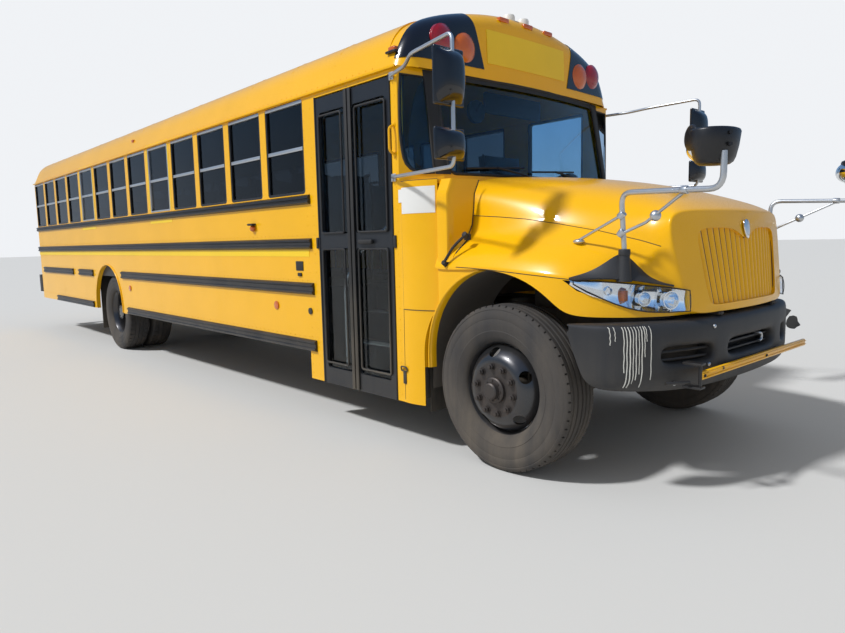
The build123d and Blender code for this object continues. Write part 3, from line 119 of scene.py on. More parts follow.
def settle(piece):
    only(piece)
    bpy.ops.object.transform_apply(location=True, rotation=True, scale=True)
    return piece


def editing(piece):
    only(piece)
    bpy.ops.object.mode_set(mode="EDIT")
    bpy.ops.mesh.select_all(action="SELECT")


def doneEditing():
    bpy.ops.object.mode_set(mode="OBJECT")


def modify(piece, kind, **settings):
    only(piece)
    modifier = piece.modifiers.new(kind, kind)
    for name, value in settings.items():
        setattr(modifier, name, value)
    bpy.ops.object.modifier_apply(modifier=modifier.name)
    return piece


def rounded(piece, width, segments=2):
    return modify(piece, "BEVEL", width=width, segments=segments, limit_method="ANGLE",
                  angle_limit=radians(35), harden_normals=False)


def walled(piece, thickness, offset=0):
    return modify(piece, "SOLIDIFY", thickness=thickness, offset=offset)


def smoother(piece, levels):
    return modify(piece, "SUBSURF", levels=levels, render_levels=levels)


def removed(piece):
    only(piece)
    bpy.ops.object.delete()


def cutAway(piece, cutter):
    modify(piece, "BOOLEAN", operation="DIFFERENCE", object=cutter, solver="EXACT")
    removed(cutter)
    return piece


def block(low, high, bevel=0.0, segments=2):
    low, high = (Vector([end(pair) for pair in zip(low, high)]) for end in (min, max))
    bpy.ops.mesh.primitive_cube_add(size=1, location=(low + high) / 2)
    piece = activeObject()
    piece.scale = high - low
    settle(piece)
    if bevel:
        rounded(piece, bevel, segments)
    return piece


def barrel(start, end, radius, sides=24, tip=None, bevel=0.0):
    start, end = Vector(start), Vector(end)
    bpy.ops.mesh.primitive_cone_add(vertices=sides, radius1=radius, radius2=radius if tip is None else tip,
                                    depth=(end - start).length, location=(start + end) / 2)
    piece = activeObject()
    piece.rotation_euler = (end - start).to_track_quat("Z", "Y").to_euler()
    settle(piece)
    if bevel:
        rounded(piece, bevel, 2)
    return piece


def ball(centre, radii, segments=24, rings=14):
    bpy.ops.mesh.primitive_uv_sphere_add(segments=segments, ring_count=rings, radius=1, location=centre)
    piece = activeObject()
    piece.scale = radii
    return settle(piece)


def outlineFace(points):
    bpy.ops.mesh.primitive_circle_add(vertices=len(points), fill_type="NGON")
    piece = activeObject()
    for vertex, point in zip(piece.data.vertices, points):
        vertex.co = point
    return piece


def slab(points, push, bevel=0.0, segments=2):
    piece = outlineFace(points)
    editing(piece)
    bpy.ops.mesh.extrude_region_move(TRANSFORM_OT_translate={"value": push})
    bpy.ops.mesh.select_all(action="SELECT")
    bpy.ops.mesh.normals_make_consistent(inside=False)
    doneEditing()
    if bevel:
        rounded(piece, bevel, segments)
    return piece


def sheetFrom(rows):
    across = len(rows[0])
    bpy.ops.mesh.primitive_grid_add(x_subdivisions=across - 1, y_subdivisions=len(rows) - 1, size=1)
    piece = activeObject()
    for index, vertex in enumerate(piece.data.vertices):
        vertex.co = rows[index // across][index % across]
    return piece


def spun(profile, centre, axis=(0, 1, 0), steps=48):
    axis = Vector(axis)
    out = Vector((1, 0, 0)) if abs(axis.x) < 0.5 else Vector((0, 0, 1))
    bpy.ops.mesh.primitive_circle_add(vertices=len(profile), fill_type="NOTHING")
    piece = activeObject()
    for vertex, (radius, along) in zip(piece.data.vertices, profile):
        vertex.co = Vector(centre) + out * radius + axis * along
    editing(piece)
    bpy.ops.mesh.spin(steps=steps, angle=2 * pi, center=centre, axis=axis)
    bpy.ops.mesh.select_all(action="SELECT")
    bpy.ops.mesh.remove_doubles(threshold=0.00005)
    bpy.ops.mesh.normals_make_consistent(inside=False)
    doneEditing()
    return piece


def roundedPath(corners, radius, steps=6):
    corners = [Vector(corner) for corner in corners]
    path = [corners[0]]
    for before, corner, after in zip(corners, corners[1:], corners[2:]):
        inward, outward = (before - corner).normalized(), (after - corner).normalized()
        reach = min(radius, (before - corner).length * 0.45, (after - corner).length * 0.45)
        start, end = corner + inward * reach, corner + outward * reach
        for step in range(steps + 1):
            share = step / steps
            path.append(start * (1 - share) ** 2 + corner * 2 * share * (1 - share) + end * share ** 2)
    path.append(corners[-1])
    return path


def tube(points, radius, sides=4, closed=False):
    bpy.ops.curve.primitive_nurbs_path_add()
    piece = activeObject()
    curve = piece.data
    curve.splines.clear()
    spline = curve.splines.new("POLY")
    spline.points.add(len(points) - 1)
    for place, point in zip(spline.points, points):
        place.co = (*point, 1)
    spline.use_cyclic_u = closed
    curve.bevel_depth = radius
    curve.bevel_resolution = sides
    curve.use_fill_caps = True
    only(piece)
    bpy.ops.object.convert(target="MESH")
    return activeObject()


def joined(pieces):
    only(*pieces)
    if len(pieces) > 1:
        bpy.ops.object.join()
    return activeObject()


def rowOf(piece, count, step):
    return modify(piece, "ARRAY", count=count, use_relative_offset=False, use_constant_offset=True,
                  constant_offset_displace=step)


def bothSides(piece):
    return modify(piece, "MIRROR", use_axis=(False, True, False), use_mirror_merge=False)


def cleaned(piece, threshold=0.00005):
    editing(piece)
    bpy.ops.mesh.remove_doubles(threshold=threshold)
    bpy.ops.mesh.normals_make_consistent(inside=False)
    doneEditing()
    return piece


def finished(piece, name, body, slot, material, *stoodFor, smooth=32):
    settle(piece)
    piece.name = name
    piece.data.name = name
    only(piece)
    if smooth:
        bpy.ops.object.shade_smooth_by_angle(angle=radians(smooth))
    for old in range(len(piece.data.materials) - 1, -1, -1):
        piece.data.materials.pop(index=old)
    piece.data.materials.append(material)
    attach(piece, body)
    if stoodFor:
        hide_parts(*stoodFor)
    return piece


# Camera of the photograph: a phone held beside the curb-side front wheel.
photograph = {
    "place": (7.473, -4.0797, 1.4097),
    "heading": 138.11,
    "pitch": -6.60,
    "roll": -1.26,
    "lens": 28.065,
}
heading, pitch = radians(photograph["heading"]), radians(photograph["pitch"])
roll = radians(photograph["roll"])
lookAlong = Vector((cos(pitch) * cos(heading), cos(pitch) * sin(heading), sin(pitch)))
levelRight = Vector((sin(heading), -cos(heading), 0))
levelUp = levelRight.cross(lookAlong)
cameraRight = cos(roll) * levelRight + sin(roll) * levelUp
cameraUp = cos(roll) * levelUp - sin(roll) * levelRight
bpy.ops.object.camera_add(location=photograph["place"])
camera = activeObject()
camera.name = "photographCamera"
camera.matrix_world = Matrix.Translation(Vector(photograph["place"])) @ Matrix(
    (cameraRight, cameraUp, -lookAlong)).transposed().to_4x4()
camera.data.sensor_width = 36
camera.data.lens = photograph["lens"]
camera.data.clip_end = 200
bpy.context.scene.camera = camera
bpy.context.scene.view_settings.view_transform = "Standard"
print("camera placed")


# Shader groups shared by the finishes
def shaderGroup(name, inputs, outputs):
    group = bpy.data.node_groups.new(name, "ShaderNodeTree")
    for label, kind, value in inputs:
        socket = group.interface.new_socket(label, in_out="INPUT", socket_type=kind)
        socket.default_value = value
    for label, kind in outputs:
        group.interface.new_socket(label, in_out="OUTPUT", socket_type=kind)
    return group, group.nodes.new("NodeGroupInput"), group.nodes.new("NodeGroupOutput")


def feed(tree, node, inputs):
    for socket, value in inputs.items():
        if hasattr(value, "is_output"):
            tree.links.new(value, node.inputs[socket])
        else:
            node.inputs[socket].default_value = value


def mathNode(tree, operation, first, second, clamp=False):
    node = tree.nodes.new("ShaderNodeMath")
    node.operation = operation
    node.use_clamp = clamp
    feed(tree, node, {0: first, 1: second})
    return node.outputs[0]


def mixColours(tree, factor, first, second):
    node = tree.nodes.new("ShaderNodeMix")
    node.data_type = "RGBA"
    feed(tree, node, {0: factor, 6: first, 7: second})
    return node.outputs[2]


def stretch(tree, value, low, high, toLow=0.0, toHigh=1.0):
    node = tree.nodes.new("ShaderNodeMapRange")
    feed(tree, node, {0: value, 1: low, 2: high, 3: toLow, 4: toHigh})
    return node.outputs[0]


def noise(tree, vector, scale, detail):
    node = tree.nodes.new("ShaderNodeTexNoise")
    feed(tree, node, {"Vector": vector, "Scale": scale, "Detail": detail, "Roughness": 0.6})
    return node.outputs["Fac"]


def scaledSpace(tree, vector, scale):
    node = tree.nodes.new("ShaderNodeMapping")
    feed(tree, node, {"Vector": vector, "Scale": scale})
    return node.outputs["Vector"]


weathered, weatheredIn, weatheredOut = shaderGroup(
    "weathered",
    [("Colour", "NodeSocketColor", (0.5, 0.5, 0.5, 1)), ("Dust", "NodeSocketColor", (0.36, 0.30, 0.22, 1)),
     ("Dust Amount", "NodeSocketFloat", 0.3), ("Dust Reach", "NodeSocketFloat", 1.2),
     ("Roughness", "NodeSocketFloat", 0.3), ("Roughness Spread", "NodeSocketFloat", 0.1),
     ("Grain", "NodeSocketFloat", 60.0), ("Bump", "NodeSocketFloat", 0.1)],
    [("Colour", "NodeSocketColor"), ("Roughness", "NodeSocketFloat"), ("Normal", "NodeSocketVector"),
     ("Dustiness", "NodeSocketFloat")])
placeVector = weathered.nodes.new("ShaderNodeTexCoord").outputs["Object"]
broad = noise(weathered, placeVector, 1.7, 5.0)
streaks = noise(weathered, scaledSpace(weathered, placeVector, (9, 9, 0.5)), 1.0, 4.0)
fine = noise(weathered, placeVector, weatheredIn.outputs["Grain"], 3.0)
heights = weathered.nodes.new("ShaderNodeSeparateXYZ")
weathered.links.new(placeVector, heights.inputs[0])
low = stretch(weathered, heights.outputs["Z"], 0.0, weatheredIn.outputs["Dust Reach"], 1.0, 0.10)
blotch = stretch(weathered, mathNode(weathered, "ADD", mathNode(weathered, "MULTIPLY", broad, 0.65),
                                     mathNode(weathered, "MULTIPLY", streaks, 0.5)), 0.42, 0.78)
dusty = mathNode(weathered, "MULTIPLY", mathNode(weathered, "MULTIPLY", blotch, low),
                 weatheredIn.outputs["Dust Amount"], clamp=True)
shade = weathered.nodes.new("ShaderNodeHueSaturation")
weathered.links.new(weatheredIn.outputs["Colour"], shade.inputs["Color"])
weathered.links.new(stretch(weathered, broad, 0.2, 0.8, 0.93, 1.05), shade.inputs["Value"])
weathered.links.new(mixColours(weathered, dusty, shade.outputs[0], weatheredIn.outputs["Dust"]),
                    weatheredOut.inputs["Colour"])
rough = mathNode(weathered, "ADD", weatheredIn.outputs["Roughness"],
                 mathNode(weathered, "MULTIPLY", fine, weatheredIn.outputs["Roughness Spread"]))
weathered.links.new(mathNode(weathered, "ADD", rough, mathNode(weathered, "MULTIPLY", dusty, 0.4),
                             clamp=True),
                    weatheredOut.inputs["Roughness"])
bumps = weathered.nodes.new("ShaderNodeBump")
feed(weathered, bumps, {"Distance": 0.002, "Strength": weatheredIn.outputs["Bump"], "Height": fine})
weathered.links.new(bumps.outputs[0], weatheredOut.inputs["Normal"])
weathered.links.new(dusty, weatheredOut.inputs["Dustiness"])


def newFinish(name, colour, dust=0.3, reach=1.2, roughness=0.3, spread=0.1, grain=60.0, bump=0.1,
              dustColour=(0.36, 0.30, 0.22), **principled):
    material = bpy.data.materials.new(name)
    material.use_nodes = True
    tree = material.node_tree
    shader = tree.nodes["Principled BSDF"]
    cover = tree.nodes.new("ShaderNodeGroup")
    cover.node_tree = weathered
    cover.name = "cover"
    for label, value in (("Colour", (*colour, 1)), ("Dust", (*dustColour, 1)), ("Dust Amount", dust),
                         ("Dust Reach", reach), ("Roughness", roughness), ("Roughness Spread", spread),
                         ("Grain", grain), ("Bump", bump)):
        cover.inputs[label].default_value = value
    tree.links.new(cover.outputs["Colour"], shader.inputs["Base Color"])
    tree.links.new(cover.outputs["Roughness"], shader.inputs["Roughness"])
    tree.links.new(cover.outputs["Normal"], shader.inputs["Normal"])
    for label, value in principled.items():
        shader.inputs[label.replace("_", " ")].default_value = value
    material.diffuse_color = (*colour, 1)
    return material


busYellow = newFinish("busYellow", (0.87, 0.455, 0.002), dust=0.08, reach=1.3, roughness=0.24, spread=0.08,
                      grain=220, bump=0.02, dustColour=(0.42, 0.30, 0.14), Coat_Weight=0.35,
                      Coat_Roughness=0.08, Specular_IOR_Level=0.22)
# dark amber that stands for the shade in the grille's grooves and round its opening: painted shade
grilleGapPaintedShade = newFinish("grilleGapPaintedShade", (0.15, 0.055, 0.003), dust=0.1, reach=1.8, roughness=0.5)
trimBlack = newFinish("trimBlack", (0.009, 0.009, 0.011), dust=0.16, reach=1.8, roughness=0.32, spread=0.12)
doorBlack = newFinish("doorBlack", (0.010, 0.012, 0.016), dust=0.10, reach=1.4, roughness=0.34, spread=0.10)
capBlack = newFinish("capBlack", (0.006, 0.006, 0.008), dust=0.05, reach=1.4, roughness=0.14, spread=0.05,
                     Coat_Weight=0.4, Coat_Roughness=0.05)
bumperBlack = newFinish("bumperBlack", (0.022, 0.023, 0.026), dust=0.35, reach=0.9, roughness=0.50,
                        spread=0.15, grain=140, bump=0.25)
tyreRubber = newFinish("tyreRubber", (0.036, 0.034, 0.034), dust=0.6, reach=1.5, roughness=0.72, spread=0.2,
                       grain=90, bump=0.35, dustColour=(0.20, 0.165, 0.125))
blackRubber = newFinish("blackRubber", (0.013, 0.013, 0.014), dust=0.5, reach=1.2, roughness=0.62,
                        spread=0.15, grain=120, bump=0.2)
wheelSteel = newFinish("wheelSteel", (0.060, 0.062, 0.066), dust=0.30, reach=1.6, roughness=0.22, spread=0.14,
                       grain=45, bump=0.12, dustColour=(0.10, 0.062, 0.036), Metallic=0.8, Coat_Weight=0.5)
wornNut = newFinish("wornNut", (0.075, 0.072, 0.070), dust=0.35, reach=1.4, roughness=0.42, spread=0.2,
                    dustColour=(0.20, 0.11, 0.06), Metallic=0.8)
chassisBlack = newFinish("chassisBlack", (0.022, 0.021, 0.020), dust=0.9, reach=1.4, roughness=0.6,
                         spread=0.2, dustColour=(0.17, 0.135, 0.095))
castIron = newFinish("castIron", (0.09, 0.09, 0.092), dust=0.6, reach=2.0, roughness=0.6, spread=0.2,
                     grain=80, bump=0.5, Metallic=0.5)
brownedSteel = newFinish("brownedSteel", (0.20, 0.15, 0.11), dust=0.7, reach=1.2, roughness=0.5, spread=0.25,
                         Metallic=0.7)
galvanised = newFinish("galvanised", (0.56, 0.57, 0.58), dust=0.15, reach=2.0, roughness=0.30, spread=0.18,
                       grain=70, bump=0.06, Metallic=0.9)
chrome = newFinish("chrome", (0.80, 0.81, 0.82), dust=0.08, reach=1.5, roughness=0.06, spread=0.05, bump=0.0,
                   Metallic=1.0)
brightSash = newFinish("brightSash", (0.58, 0.59, 0.60), dust=0.15, reach=2.5, roughness=0.32, spread=0.12,
                       Metallic=0.85)
seatVinyl = newFinish("seatVinyl", (0.020, 0.032, 0.042), dust=0.15, reach=1.8, roughness=0.42, spread=0.12,
                      grain=350, bump=0.35)
dashPlastic = newFinish("dashPlastic", (0.020, 0.020, 0.022), dust=0.2, reach=2.0, roughness=0.5, spread=0.1,
                        grain=300, bump=0.3)
linerSteel = newFinish("linerSteel", (0.105, 0.095, 0.085), dust=0.8, reach=1.5, roughness=0.7, spread=0.15,
                       dustColour=(0.20, 0.165, 0.125))
stepSteel = newFinish("stepSteel", (0.030, 0.030, 0.032), dust=0.3, reach=1.5, roughness=0.5, grain=20,
                      bump=0.02)
paleNosing = newFinish("paleNosing", (0.62, 0.62, 0.58), dust=0.5, reach=1.4, roughness=0.5)
whitePlastic = newFinish("whitePlastic", (0.78, 0.78, 0.76), dust=0.1, reach=3.5, roughness=0.35)
reflectYellow = newFinish("reflectYellow", (0.90, 0.60, 0.008), dust=0.1, reach=1.2, roughness=0.35,
                          grain=500, bump=0.1)
signRed = newFinish("signRed", (0.58, 0.012, 0.012), dust=0.1, reach=1.5, roughness=0.3)
signWhite = newFinish("signWhite", (0.82, 0.82, 0.80), dust=0.1, reach=1.5, roughness=0.3)
amberLens = newFinish("amberLens", (0.56, 0.115, 0.004), dust=0.05, reach=2.0, roughness=0.12, grain=260,
                      bump=0.6, Coat_Weight=0.6)
redLens = newFinish("redLens", (0.30, 0.004, 0.010), dust=0.05, reach=2.0, roughness=0.12, grain=260,
                    bump=0.6, Coat_Weight=0.6)
mirrorFace = newFinish("mirrorFace", (0.85, 0.87, 0.88), dust=0.0, roughness=0.02, spread=0.01, bump=0.0,
                       Metallic=1.0)


def newGlass(name, colour, clearness, dust=0.06):
    material = newFinish(name, colour, dust=dust, reach=2.6, roughness=0.015, spread=0.02, bump=0.0,
                         dustColour=(0.55, 0.52, 0.46))
    shader = material.node_tree.nodes["Principled BSDF"]
    shader.inputs["Transmission Weight"].default_value = clearness
    shader.inputs["IOR"].default_value = 1.30
    return material


clearGlassColour = (0.42, 0.58, 0.68)
tintedGlass = newGlass("tintedGlass", (0.075, 0.085, 0.095), 1.0)
tintTree = tintedGlass.node_tree
tintPlace = tintTree.nodes.new("ShaderNodeTexCoord")
tintAxes = tintTree.nodes.new("ShaderNodeSeparateXYZ")
tintTree.links.new(tintPlace.outputs["Object"], tintAxes.inputs[0])
tintTree.links.new(mixColours(tintTree,
                              mathNode(tintTree, "GREATER_THAN", tintAxes.outputs["X"], ahead(-1.70)),
                              (0.075, 0.085, 0.095, 1), (*clearGlassColour, 1)),
                   tintTree.nodes["cover"].inputs["Colour"])
doorGlass = newGlass("doorGlass", (0.42, 0.47, 0.49), 1.0)
screenGlass = newGlass("screenGlass", clearGlassColour, 1.0)
lensClear = newGlass("lensClear", (0.93, 0.95, 0.97), 1.0, dust=0.02)
print("finishes made")

cadFinishes = (
    (busYellow, "left_side right_side roof rear_wall rear_door windshield_frame front_cap cowl hood grille"),
    (busYellow, "crossing_arm"),
    (trimBlack, "rub_rails window_frames"),
    (doorBlack, "door_front_leaf door_rear_leaf"),
    (bumperBlack, "front_bumper rear_bumper"),
    (tyreRubber, "front_tyre_left front_tyre_right rear_tyres_left rear_tyres_right"),
    (wheelSteel, "front_wheel_left front_wheel_right rear_wheels_left rear_wheels_right"),
    (chassisBlack, "knuckle_left knuckle_right front_axle rear_axle frame_rails cross_members leaf_springs"),
    (chassisBlack, "driveline fuel_tank"),
    (stepSteel, "wheel_housings floor entrance_steps"),
    (castIron, "engine"),
    (brownedSteel, "exhaust"),
    (seatVinyl, "seats"),
    (dashPlastic, "dashboard steering_wheel"),
    (whitePlastic, "front_hatch rear_hatch"),
    (tintedGlass, "window_glass rear_door_glass"),
    (doorGlass, "door_front_glass door_rear_glass"),
    (chrome, "headlights"),
    (galvanised, "crossview_mirrors side_mirrors"),
    (signRed, "stop_arm"),
    (amberLens, "lamps"),
    (blackRubber, "mud_flaps"),
)
for material, names in cadFinishes:
    for name in names.split():
        cadNodes[name].data.materials.clear()
        cadNodes[name].data.materials.append(material)
        only(cadNodes[name])
        bpy.ops.object.shade_smooth_by_angle(angle=radians(28))
print("packed nodes dressed")


# Hood and fenders: one moulding drawn through its sections from the cowl to the nose
hoodLook = {
    "plate": 0.012,
    "creaseKeep": 0.65,
    "noseBase": 1.111,
    "noseRake": 0.117,
    "noseBow": 0.165,
    "noseRound": 0.38,
    "lip": 0.045,
}
hoodSections = (  # ahead, then y and z of the columns from the centre line to the lower edge
    (-0.500, (0, 1.853), (.50, 1.840), (.80, 1.800), (.945, 1.725), (.955, 1.573), (.985, 1.430),
     (1.08, 1.365), (1.165, 1.310), (1.190, 1.240), (1.190, 1.225)),
    (-0.300, (0, 1.840), (.48, 1.827), (.78, 1.785), (.925, 1.705), (.955, 1.563), (.985, 1.430),
     (1.07, 1.375), (1.160, 1.315), (1.190, 1.238), (1.190, 1.222)),
    (-0.050, (0, 1.815), (.46, 1.802), (.74, 1.760), (.885, 1.675), (.940, 1.540), (.980, 1.435),
     (1.06, 1.380), (1.150, 1.315), (1.190, 1.250), (1.190, 1.236)),
    (0.200, (0, 1.775), (.43, 1.765), (.69, 1.725), (.840, 1.635), (.905, 1.500), (.965, 1.420),
     (1.04, 1.370), (1.130, 1.305), (1.180, 1.220), (1.180, 1.190)),
    (0.370, (0, 1.740), (.41, 1.730), (.66, 1.690), (.800, 1.600), (.870, 1.471), (.930, 1.410),
     (1.005, 1.365), (1.100, 1.290), (1.155, 1.205), (1.155, 1.080)),
    (0.455, (0, 1.720), (.40, 1.710), (.64, 1.670), (.780, 1.580), (.850, 1.450), (.910, 1.390),
     (.980, 1.350), (1.070, 1.275), (1.130, 1.195), (1.130, .985)),
    (0.620, (0, 1.675), (.38, 1.665), (.61, 1.630), (.745, 1.540), (.805, 1.407), (.860, 1.355),
     (.925, 1.315), (.995, 1.250), (1.050, 1.175), (1.065, .980)),
    (0.740, (0, 1.635), (.36, 1.628), (.59, 1.600), (.725, 1.520), (.765, 1.372), (.800, 1.320),
     (.850, 1.265), (.900, 1.210), (.940, 1.150), (.955, .978)),
    (0.800, (0, 1.612), (.36, 1.605), (.60, 1.582), (.735, 1.515), (.752, 1.355), (.770, 1.300),
     (.800, 1.235), (.830, 1.170), (.850, 1.110), (.860, .976)),
)
nosePerimeter = ((0, 1.555), (.45, 1.548), (.66, 1.540), (.745, 1.500), (.735, 1.337), (.715, 1.270),
                 (.700, 1.190), (.685, 1.120), (.660, 1.050), (.620, .975), (.42, .975), (.20, .975),
                 (0, .975))
grilleEdge = ((0, 1.357), (.13, 1.447), (.35, 1.446), (.532, 1.440), (.520, 1.340), (.507, 1.250),
              (.495, 1.170), (.480, 1.100), (.465, 1.050), (.450, 1.015), (.30, 1.017), (.15, 1.019),
              (0, 1.020))
hardColumns = (4, 6, 8)


def noseX(y, z):
    return hoodLook["noseBase"] - hoodLook["noseRake"] * z - hoodLook["noseBow"] * y * y


def onNose(y, z, back=0.0):
    return Vector((ahead(noseX(y, z) - back), y, z))


def creased(piece, pairs, strength):
    attributes = piece.data.attributes
    marks = attributes.get("crease_edge") or attributes.new("crease_edge", "FLOAT", "EDGE")
    wanted = {frozenset(pair) for pair in pairs}
    for edge in piece.data.edges:
        if frozenset(edge.vertices) in wanted:
            marks.data[edge.index].value = strength
    return piece


sideRows = [[Vector(at(station[0], y, z)) for y, z in station[1:]] for station in hoodSections]
faceRow = [onNose(y, z) for y, z in nosePerimeter]
behindRow = [face.lerp(side, hoodLook["noseRound"]) for face, side in zip(faceRow, sideRows[-1])]
behindRow += [onNose(y, z, hoodLook["lip"]) for y, z in nosePerimeter[10:]]
openRow = [onNose(y, z) for y, z in grilleEdge]
rows = sideRows + [behindRow[:10], faceRow[:10]]
hoodSide = sheetFrom(rows)
columns = len(rows[0])
pairs = [(row * columns + column, (row + 1) * columns + column)
         for row in range(len(rows) - 1) for column in hardColumns]
creased(hoodSide, pairs, hoodLook["creaseKeep"])
faceRows = [[face.lerp(edge, share) for face, edge in zip(faceRow, openRow)]
            for share in (0, 0.12, 0.55, 0.93, 1)]
faceRows.append([onNose(y, z, hoodLook["lip"]) for y, z in grilleEdge])
hoodFace = sheetFrom(faceRows)
columns = len(faceRow)
creased(hoodFace, [(4 * columns + column, 4 * columns + column + 1) for column in range(columns - 1)], 0.75)
hoodChin = sheetFrom([behindRow[9:], faceRow[9:]])
hood = cleaned(joined([hoodSide, hoodFace, hoodChin]), 0.0005)
modify(hood, "MIRROR", use_axis=(False, True, False), use_mirror_merge=True, merge_threshold=0.0005)
smoother(hood, 3)
walled(hood, hoodLook["plate"], -1)
lampCut = ((.655, 1.108), (.75, 1.126), (.85, 1.141), (.95, 1.156), (1.05, 1.170), (1.13, 1.178),
           (1.10, 1.120), (1.05, 1.084), (.95, 1.026), (.85, 1.003), (.75, .997), (.655, .997))
for side in (1, -1):
    cutAway(hood, slab([at(0.30, side * y, z) for y, z in lampCut], (0.9, 0, 0)))
finished(hood, "hood", "hood", "yellow", busYellow, "hood", smooth=38)
print("hood made")

# Grille: fanned upright ribs pressed in one sheet behind the hood's opening, with painted shade as dark lines
# down the gaps between ribs and round the opening
grilleLook = {
    "ribs": 9,
    "ribDepth": 0.020,
    "gapRadius": 0.0075,
    "sunk": 0.016,
    "halfWidths": (0.462, 0.548),
    "heights": (1.005, 1.470),
    "notchHalf": 0.25,
    "notchDepth": 0.085,
}


def grillePoint(fan, share, depth):
    footHalf, topHalf = grilleLook["halfWidths"]
    foot, top = grilleLook["heights"]
    notch = max(0.0, 1 - abs(fan) / grilleLook["notchHalf"]) * grilleLook["notchDepth"]
    return onNose(fan * (footHalf + (topHalf - footHalf) * share), foot + (top - notch - foot) * share,
                  grilleLook["sunk"] + depth)


def ribDepth(fan):
    return grilleLook["ribDepth"] * (1 - abs(cos(pi * grilleLook["ribs"] * fan)) ** 0.7)


fans = spaced(-1, 1, grilleLook["ribs"] * 24)
grille = walled(sheetFrom([[grillePoint(fan, share, ribDepth(fan)) for fan in fans]
                           for share in spaced(0, 1, 10)]), 0.003, -1)
finished(grille, "grille", "hood", "yellow", busYellow, "grille", smooth=50)
# dark tubes down each groove between ribs and round the opening's edge: painted shade, not a part of the
# grille
paintedGapShade = []
for groove in range(2 * grilleLook["ribs"]):
    fan = -1 + (groove + 0.5) / grilleLook["ribs"]
    paintedGapShade.append(tube([grillePoint(fan, 0.03 + 0.94 * up / 8, grilleLook["ribDepth"] - 0.003)
                      for up in range(9)],
                     grilleLook["gapRadius"], 2))
edge = [grillePoint(-1, up / 8, 0) for up in range(8)]
edge += [grillePoint(-1 + 2 * step / 40, 1, 0) for step in range(40)]
edge += [grillePoint(1, 1 - up / 8, 0) for up in range(8)]
edge += [grillePoint(1 - 2 * step / 40, 0, 0) for step in range(40)]
paintedGapShade.append(tube(edge, grilleLook["gapRadius"] * 0.8, 2, True))
finished(joined(paintedGapShade), "grillePaintedGapShade", "hood", "yellow", grilleGapPaintedShade)
badge = slab([onNose(0.036 * cos(turn) * (1.0 + 0.25 * sin(turn)), 1.435 + 0.058 * sin(turn), -0.001)
              for turn in [2 * pi * step / 28 for step in range(28)]], (0.012, 0, 0.0014), 0.004)
finished(badge, "badgeBlank", "hood", "tube", chrome)
print("grille made")

# Headlights: an almond of clear cover over a bright bowl with its lamps
lampColumns = (  # y, face ahead, top z, foot z
    (.655, .925, 1.110, 1.000),
    (.700, .895, 1.119, 1.000),
    (.750, .862, 1.128, .999),
    (.800, .830, 1.135, 1.001),
    (.855, .795, 1.142, 1.005),
    (.905, .766, 1.150, 1.015),
    (.945, .738, 1.156, 1.026),
    (1.000, .685, 1.164, 1.052),
    (1.050, .627, 1.170, 1.086),
    (1.090, .568, 1.174, 1.118),
    (1.118, .505, 1.176, 1.158),
)


def lampSheet(forward, inset, steps=8, cup=0.0):
    rows = []
    for index, (y, x, top, foot) in enumerate(lampColumns):
        row = []
        reach = index / (len(lampColumns) - 1)
        for step in range(steps + 1):
            share = step / steps
            z = foot + inset + (top - foot - 2 * inset) * share
            bulge = 4 * share * (1 - share)
            hollow = cup * bulge * sin(pi * min(1.0, reach * 1.15 + 0.1))
            row.append(Vector((ahead(x + forward + 0.008 * bulge - hollow - 0.05 * (z - 1.08)), y, z)))
        rows.append(row)
    return sheetFrom(rows)


lampCover = lampSheet(0.004, 0.0)
smoother(lampCover, 1)
walled(lampCover, 0.004, -1)
bothSides(lampCover)
finished(lampCover, "headlightCovers", "hood", "lamp_lens", lensClear, "headlights", smooth=45)
lampBowl = lampSheet(-0.020, -0.003, 10, 0.055)
smoother(lampBowl, 1)
walled(lampBowl, 0.004, -1)
rings = [lampBowl]
for y, z, x, radius in ((.735, 1.062, .846, .050), (.862, 1.074, .762, .040), (1.010, 1.120, .640, .022)):
    rings.append(spun([(radius, 0.030), (radius * 0.9, 0.030), (radius * 0.72, 0.0), (radius * 0.3, -0.018),
                       (0.001, -0.022), (0.001, -0.028), (radius * 0.9, -0.008)],
                      at(x, y, z), (0.90, 0.42, 0), 28))
lampBowl = bothSides(joined(rings))
finished(lampBowl, "headlightBowls", "hood", "lamp_lens", chrome, smooth=40)
amberBlock = block(at(0.684, 0.925, 1.062), at(0.722, 0.965, 1.122), 0.006)
bothSides(amberBlock)
finished(amberBlock, "headlightAmber", "hood", "lamp_colour", amberLens)
bulbs = [ball(place, (0.016, 0.016, 0.016), 16, 10)
         for place in (at(.862, .742, 1.062), at(.776, .868, 1.074))]
finished(bothSides(joined(bulbs)), "headlightBulbs", "hood", "lamp_lens", lensClear)
lampRim = tube([Vector((ahead(x + 0.006 - 0.05 * (top - 1.08)), y, top + 0.001))
                for y, x, top, foot in lampColumns]
               + [Vector((ahead(x + 0.006 - 0.05 * (foot - 1.08)), y, foot - 0.001))
                  for y, x, top, foot in reversed(lampColumns)], 0.0035, 2, True)
bothSides(lampRim)
finished(lampRim, "headlightRims", "hood", "black_trim", trimBlack)
print("headlights made")

